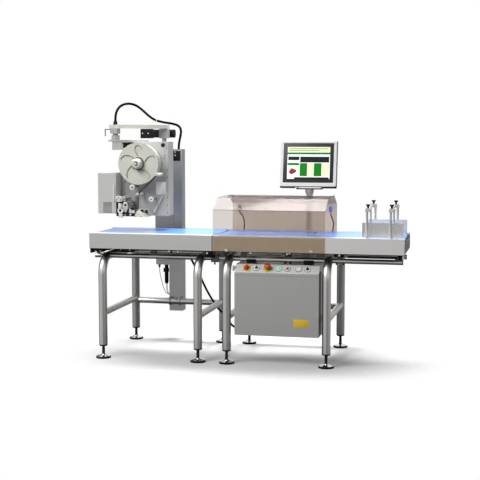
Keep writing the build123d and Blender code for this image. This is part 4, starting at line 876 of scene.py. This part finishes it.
RINGED = [name for name in CONTROL_X if name not in ("main", "emergency")]
make_pieces(
    "root",
    # a thin sheet over the slope in the lighter desk finish paints light on the desk
    ("desk_sheet", "desk_sheet", 0,
     ([end - DESK_MIDDLE for end in DESK_ENDS], (-39, 39), (-0.3, 0.5), on_desk(DESK_MIDDLE))),
    ("control_rings", "white_plastic", 0, *desk_turned(
        [(11.0, 5.2), (11.0, 6.8), (17.6, 6.6), (20.4, 4.6), (20.4, 0.2), (16.8, 0.2)], *RINGED)),
    # a dark outline under each ring, in the shaded-edge finish
    ("control_ring_seats", "shade_line", 0, *desk_turned(
        [(20.4, 0.4), (20.4, 1.6), (23.4, 1.2), (23.4, 0.4), (20.4, 0.4)], *RINGED)),
    ("safety_yellow", "yellow_plastic", 0.5, ((-26, 26), (-26, 26), (1, 4.2), on_desk(CONTROL_X["main"])),
     *desk_turned([(13.6, 0.6), (13.6, 4.6), (29, 4.2), (31.5, 1.5), (31.5, 0.2), (14.2, 0.2), (13.6, 0.6)],
                  "emergency")))
make_piece("main_switch_disc", "red_plastic", "main_switch", 0,
           *desk_turned([(0, 9), (19, 9), (20, 8), (20, 4), (0, 4)], "main"))
crown = make_piece("emergency_crown", "red_plastic", "emergency_stop", 0, *desk_turned(
    [(0, 42), (8, 41.4), (17, 38), (21.5, 33), (22, 29), (19, 25), (12.5, 24), (0, 24)], "emergency"))
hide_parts("emergency_stop")
make_piece("emergency_neck", "white_plastic", "emergency_stop", 0,
           *desk_turned([(0, 25), (12.4, 25), (12.4, 5.2), (0, 5.2)], "emergency"))

# %% [markdown]
# The cabinet hangs from the rails. Its panel is held by small screws, it has a bare yellow
# plate, its right side is darkened by a sheet of painted shade, and two black straps take its weight.

# %% Cabinet details
CABINET_FRONT = -35
hangers = [box for left, right in ((1029, 1095), (1431, 1501)) for box in (
    ((left, right), (79.6, 81.4), (685, 711)), ((left + 8, right - 8), (76, 80), (684, 692)))]
make_pieces(
    "root",
    ("cabinet_yellow_plate", "yellow_plate", 0.4,
     ((1385, 1486), (CABINET_FRONT - 1.2, CABINET_FRONT + 0.2), (264, 315))),
    ("cabinet_hanger_covers", "black_plastic", 0.8, *hangers),
    ("desk_side_bracket", "head_paint", 1.0, ((955, 969), (-12, 16), (640, 668)),
     ((951, 957), (-16, 20), (636, 672))),
    # a dark sheet on the right side is painted shade
    ("cabinet_side_sheet", "shade_steel", 0, ((1556.0, 1556.8), (-30, 76), (206, 640))),
    ("cabinet_seam", "dark_steel", 0,
     ((969, 1556), (CABINET_FRONT - 0.3, CABINET_FRONT + 0.4), (611.2, 612.4))))
panel_screws = [(x, CABINET_FRONT, 619) for x in range(990, 1551, 108)]
panel_screws += [(x, CABINET_FRONT, z) for x in (979, 1546) for z in (214, 350, 486)]
panel_screws += [(x, CABINET_FRONT, 206) for x in (1120, 1262, 1404)]
add_heads("cabinet_screws", panel_screws, 3.6, 2.2, "chrome", "root")
print("pieces so far", len(made_pieces))

# %% [markdown]
# Feet. Each dome stands on a black rubber sole that shows as a thin dark rim, and a
# threaded spindle carries the leg. The thread is a fine stack of rings.

# %% Feet and threads
LEGS = [(x, y) for x in (0, 698, 905, 1604) for y in (0, 758)]
FLOOR_Z = -16
THREADS, PITCH_MM, ROOT_R, CREST_R = 19, 2.0, 9.9, 10.8


def on_legs(profile, z, steps):
    """One turned shape on every leg."""
    return [(add_turned, profile, (x, y, z), UP, steps) for x, y in LEGS]


thread = [point for k in range(THREADS) for point in (
    (ROOT_R, 18 + PITCH_MM * k), (CREST_R, 19 + PITCH_MM * k))]
make_pieces(
    "root",
    ("rubber_soles", "rubber", 0, *on_legs(
        [(0, 0), (51, 0), (53, 2), (53, 11), (51.6, 12.6), (0, 12.6)], FLOOR_Z, 48)),
    ("spindle_threads", "dark_steel", 0, *on_legs([(0, 18), *thread, (ROOT_R, 57), (0, 57)], 0, 20)),
    ("leg_end_rings", "black_plastic", 0, *on_legs(
        [(0, 70.5), (24, 70.5), (29.6, 75), (30.4, 78), (30.4, 82), (0, 82)], 0, 40)))

# %% [markdown]
# Behind the head stands the slotted column. A grey liner closes its slot, a black cap with
# two bright dots tops it, and U-bolts clamp it to the rear stretchers. The lift carriage's
# skin is steel, while its beam and blocks are enamelled. The gear motor carries two bright
# screws, and a white hook holds the cable.

# %% Column, motor and cable details
COLUMN_FACE, STRETCHER_Y, HOOP_R = 781.8, 758, 30


def u_bolt(x, z):
    """A hoop round a rear stretcher, with both ends in the column."""
    bend = [math.pi * k / 12 for k in range(1, 12)]
    path = [(x, COLUMN_FACE + 2, z - HOOP_R), (x, STRETCHER_Y, z - HOOP_R)]
    path += [(x, STRETCHER_Y - HOOP_R * math.sin(a), z - HOOP_R * math.cos(a)) for a in bend]
    return path + [(x, STRETCHER_Y, z + HOOP_R), (x, COLUMN_FACE + 2, z + HOOP_R)]


make_piece("column_slot_liner", "column", "root", 0,
           ((301, 351), (COLUMN_FACE + 1.5, COLUMN_FACE + 3.5), (722, 1358)))
make_piece("carriage_sheets", "column", "lift", 0,
           ((153.4, 263.2), (COLUMN_FACE + 4.2, COLUMN_FACE + 5.1), (760.5, 1491)),
           ((153.2, 154.1), (COLUMN_FACE + 4.2, COLUMN_FACE + 84), (760.5, 1491)))
make_pieces(
    "root",
    ("column_cap_cover", "black_plastic", 1.0, ((301, 358), (COLUMN_FACE - 8, COLUMN_FACE - 5), (1373, 1449))),
    ("column_u_bolts", "turned", 0, *((add_tube, u_bolt(x, z), 4) for x in (280, 354) for z in (291, 672))))
make_pieces(
    "lift",
    ("beam_cable_hook", "cream_paint", 0, (
        add_tube, [(204, 648, 1646), (206, 650, 1670), (211, 650, 1686), (219, 650, 1692), (260, 650, 1696)],
        2.6)),
    ("beam_gland", "black_plastic", 0, (
        add_turned, [(0, 0), (15.5, 0), (15.5, 9), (14, 11), (14, 22), (12, 27), (10, 29), (0, 29)],
        (-13, 350, 1646.2))))
cap_dots = [(319, COLUMN_FACE - 8, z) for z in (1440, 1416)]
add_heads("column_cap_dots", cap_dots, 4.5, 2.0, "white_plastic", "root")
add_heads("motor_screws", [(x, 745, 1582) for x in (68, 113)], 5.0, 2.5, "white_plastic", "lift")
print("pieces so far", len(made_pieces))

# %% [markdown]
# Under the belts the photograph shows a bracket with a bright release lever at the outfeed end,
# a black junction box, clamps on the rails and cream catches that hold the hood's flap. Dark
# sheets under the belts are painted shade; they stop the belts' blue from showing below. Two
# sensors look at the belt under the hood; the right one has a bright cap and a red glow.

# %% Sensors, painted shade, brackets and catches under the conveyors
for side, finish, x in (("left", "shade_plate", 879), ("right", "sensor_blue", 1553)):
    housing = make_piece("sensor_" + side, finish, "root", 1.5, ((x - 9, x + 9), (513, 553), (1016, 1056)),
                         ((x - 6, x + 6), (553, 561), (1022, 1050)))
    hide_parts("product_sensors")
shade_sheets = [(x, *tray) for x in ((-78, 802), (821, 2104)) for tray in (
    ((-8, 470), (775, 777.5)), ((-8, -5), (768, 777)))]
catches = [box for x, z in ((904, 773), (1494, 778)) for box in (
    ((x, x + 22), (-49, -38), (z, z + 16)), ((x + 4, x + 18), (-52, -44), (z + 4, z + 12)))]
knobs = ((538, 70, 753), (482, 48, 756), (1322, 50, 756), (1684, 44, 756), (1340, 50, 762), (752, 64, 748))
make_pieces(
    "root",
    ("sensor_cap", "white_plastic", 0,
     (add_turned, [(0, 0), (7, 0), (8, 2), (8, 12), (5, 15), (0, 15)], (1553, 533, 1052), UP, 24),
     (add_turned, [(0, 0), (7, 0), (7, 12), (0, 12)], (1553, 533, 1004), UP, 24)),
    ("sensor_light", "red_plastic", 0, ((1546, 1560), (511.2, 513.4), (1008, 1022))),
    # dark sheets under the belts and a thin dark line along their front edge are painted shade
    ("under_belt_trays", "shade_steel", 0, *shade_sheets),
    ("under_belt_brackets", "black_plastic", 1.2,
     ((-88, 6), (-6, 12), (746, 774)), ((-88, -70), (-10, 40), (738, 774)), ((102, 206), (52, 120), (740, 774)),
     ((210, 244), (60, 100), (752, 774)), ((469, 492), (60, 84), (742, 775)),
     ((1644, 1712), (50, 84), (742, 775)), ((2078, 2104), (84, 122), (728, 775)),
     ((1306, 1350), (56, 84), (738, 775)), ((-8, 104), (12, 44), (744, 775)),
     *(((x, x + 12), (92, 118), (684, 694)) for x in (1292, 1330, 1652, 1700))),
    ("under_belt_channel", "black_plastic", 0,
     ((1745, 2078), (-7, -5), (765, 775)), ((1745, 2078), (-7, -5), (744, 761))),
    ("under_belt_channel_line", "pale_plate", 0, ((1745, 2078), (-6.5, -5.5), (761, 765))),
    ("release_lever", "chrome", 0,
     (add_tube, [(2, -14, 741), (30, -16, 748), (60, -16, 758), (98, -12, 773)], 5.5),
     ((-4, 16), (-22, -8), (736, 748))),
    ("clamp_knobs", "turned", 0, *(
        (add_turned, [(0, 0), (8, 0), (9, 3), (9, 10), (7, 12), (0, 12)], knob, FRONT, 24) for knob in knobs)),
    ("flap_catches", "cream_paint", 1.0, *catches, ((1284, 1306), (50, 74), (736, 752)),
     ((1078, 1090), (-44, -36), (760, 772))),
    ("table_joint", "black_plastic", 0.8, ((808.6, 814.4), (-34, -20), (760, 879)),
     ((736, 806), (58, 92), (716, 768))))
bracket_bolts = [(x, -6, 752) for x in (-78, -46, -12)] + [(x, 52, 757) for x in (118, 188)]
add_heads("bracket_bolts", bracket_bolts, 5.0, 3.5, "chrome", "root", 6)

# %% [markdown]
# The plug on the lift box is black with a wide collar. A dark gland holds the thin lead.

# %% Lift plug and gland
plug = make_piece("lift_plug", "black_plastic", "root", 0.6, (
    add_turned, [(0, 417), (11, 417), (12, 424), (14.5, 430), (15.5, 436), (15.5, 506), (19.5, 512),
                 (19.5, 534), (15, 540), (15, 569), (0, 569)], (231, 822, 0), UP, 32),
    ((208, 220), (812, 832), (508, 538)))
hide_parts("lift_connector")
make_pieces(
    "root",
    ("plug_leads", "lead_blue", 0,
     (add_tube, [(228, 822, 418), (230, 816, 384), (240, 806, 352), (262, 800, 330)], 2),
     (add_tube, [(236, 822, 418), (238, 816, 384), (246, 806, 352), (264, 800, 322)], 2)),
    ("lead_gland", "black_plastic", 0, (
        add_turned, [(0, 545), (5, 545), (8, 552), (8, 562), (10, 563), (10, 569), (0, 569)],
        (180, 800, 0), UP, 24)))

# %% [markdown]
# The frames' folded top edges carry a painted highlight between the front sheets and the belts.
# On the infeed side the end gets painted light: a face darkened for shade, a pale edge for its
# highlight and a dark strip for the shadow under the belt's end, and the guides get pale posts
# and bolts. The hood's cover has a dark trim at its right edge.

# %% Frame edge highlights, infeed end shade, hood trim and guides
make_pieces(
    "root",
    # pale strips on the frames' top edges are a painted highlight
    ("frame_top_edges", "edge_steel", 0,
     ((-86, 806), (-34.5, 36), (879.4, 880.6)), ((818, 2125), (-34.5, 36), (879.4, 880.6))),
    # the infeed end: a face darkened as painted shade, a pale painted highlight on its edge, and a dark strip as
    # the painted shadow under the belt
    ("infeed_end_face", "shade_plate", 0, ((2127.6, 2128.8), (-34, 494), (775, 845))),
    ("infeed_end_edge", "pale_plate", 0.6, ((2126, 2130), (-34, 494), (845, 850.5))),
    ("infeed_end_gap", "dark_steel", 0, ((2127, 2128.4), (-30, 480), (851, 868))),
    ("hood_edge_trim", "dark_steel", 0, ((1592, 1597.6), (104, 418), (1137, 1143))),
    ("guide_post_sleeves", "pale_plate", 0, *(
        shape for x, y in ((1873, 0), (2031, 0), (1882, 478), (2040, 478)) for shape in (
            (add_rod, (x, y, 885), (x, y, 1059), 8.2),
            (add_turned, [(0, 0), (15, 0), (15, 3), (12, 5), (0, 5)], (x, y, 880), UP, 32)))))
add_heads("guide_bolts", [(1846, 42, z) for z in (912, 956)], 4.0, 3.0, "white_plastic", "front_guide")
print("pieces so far", len(made_pieces))
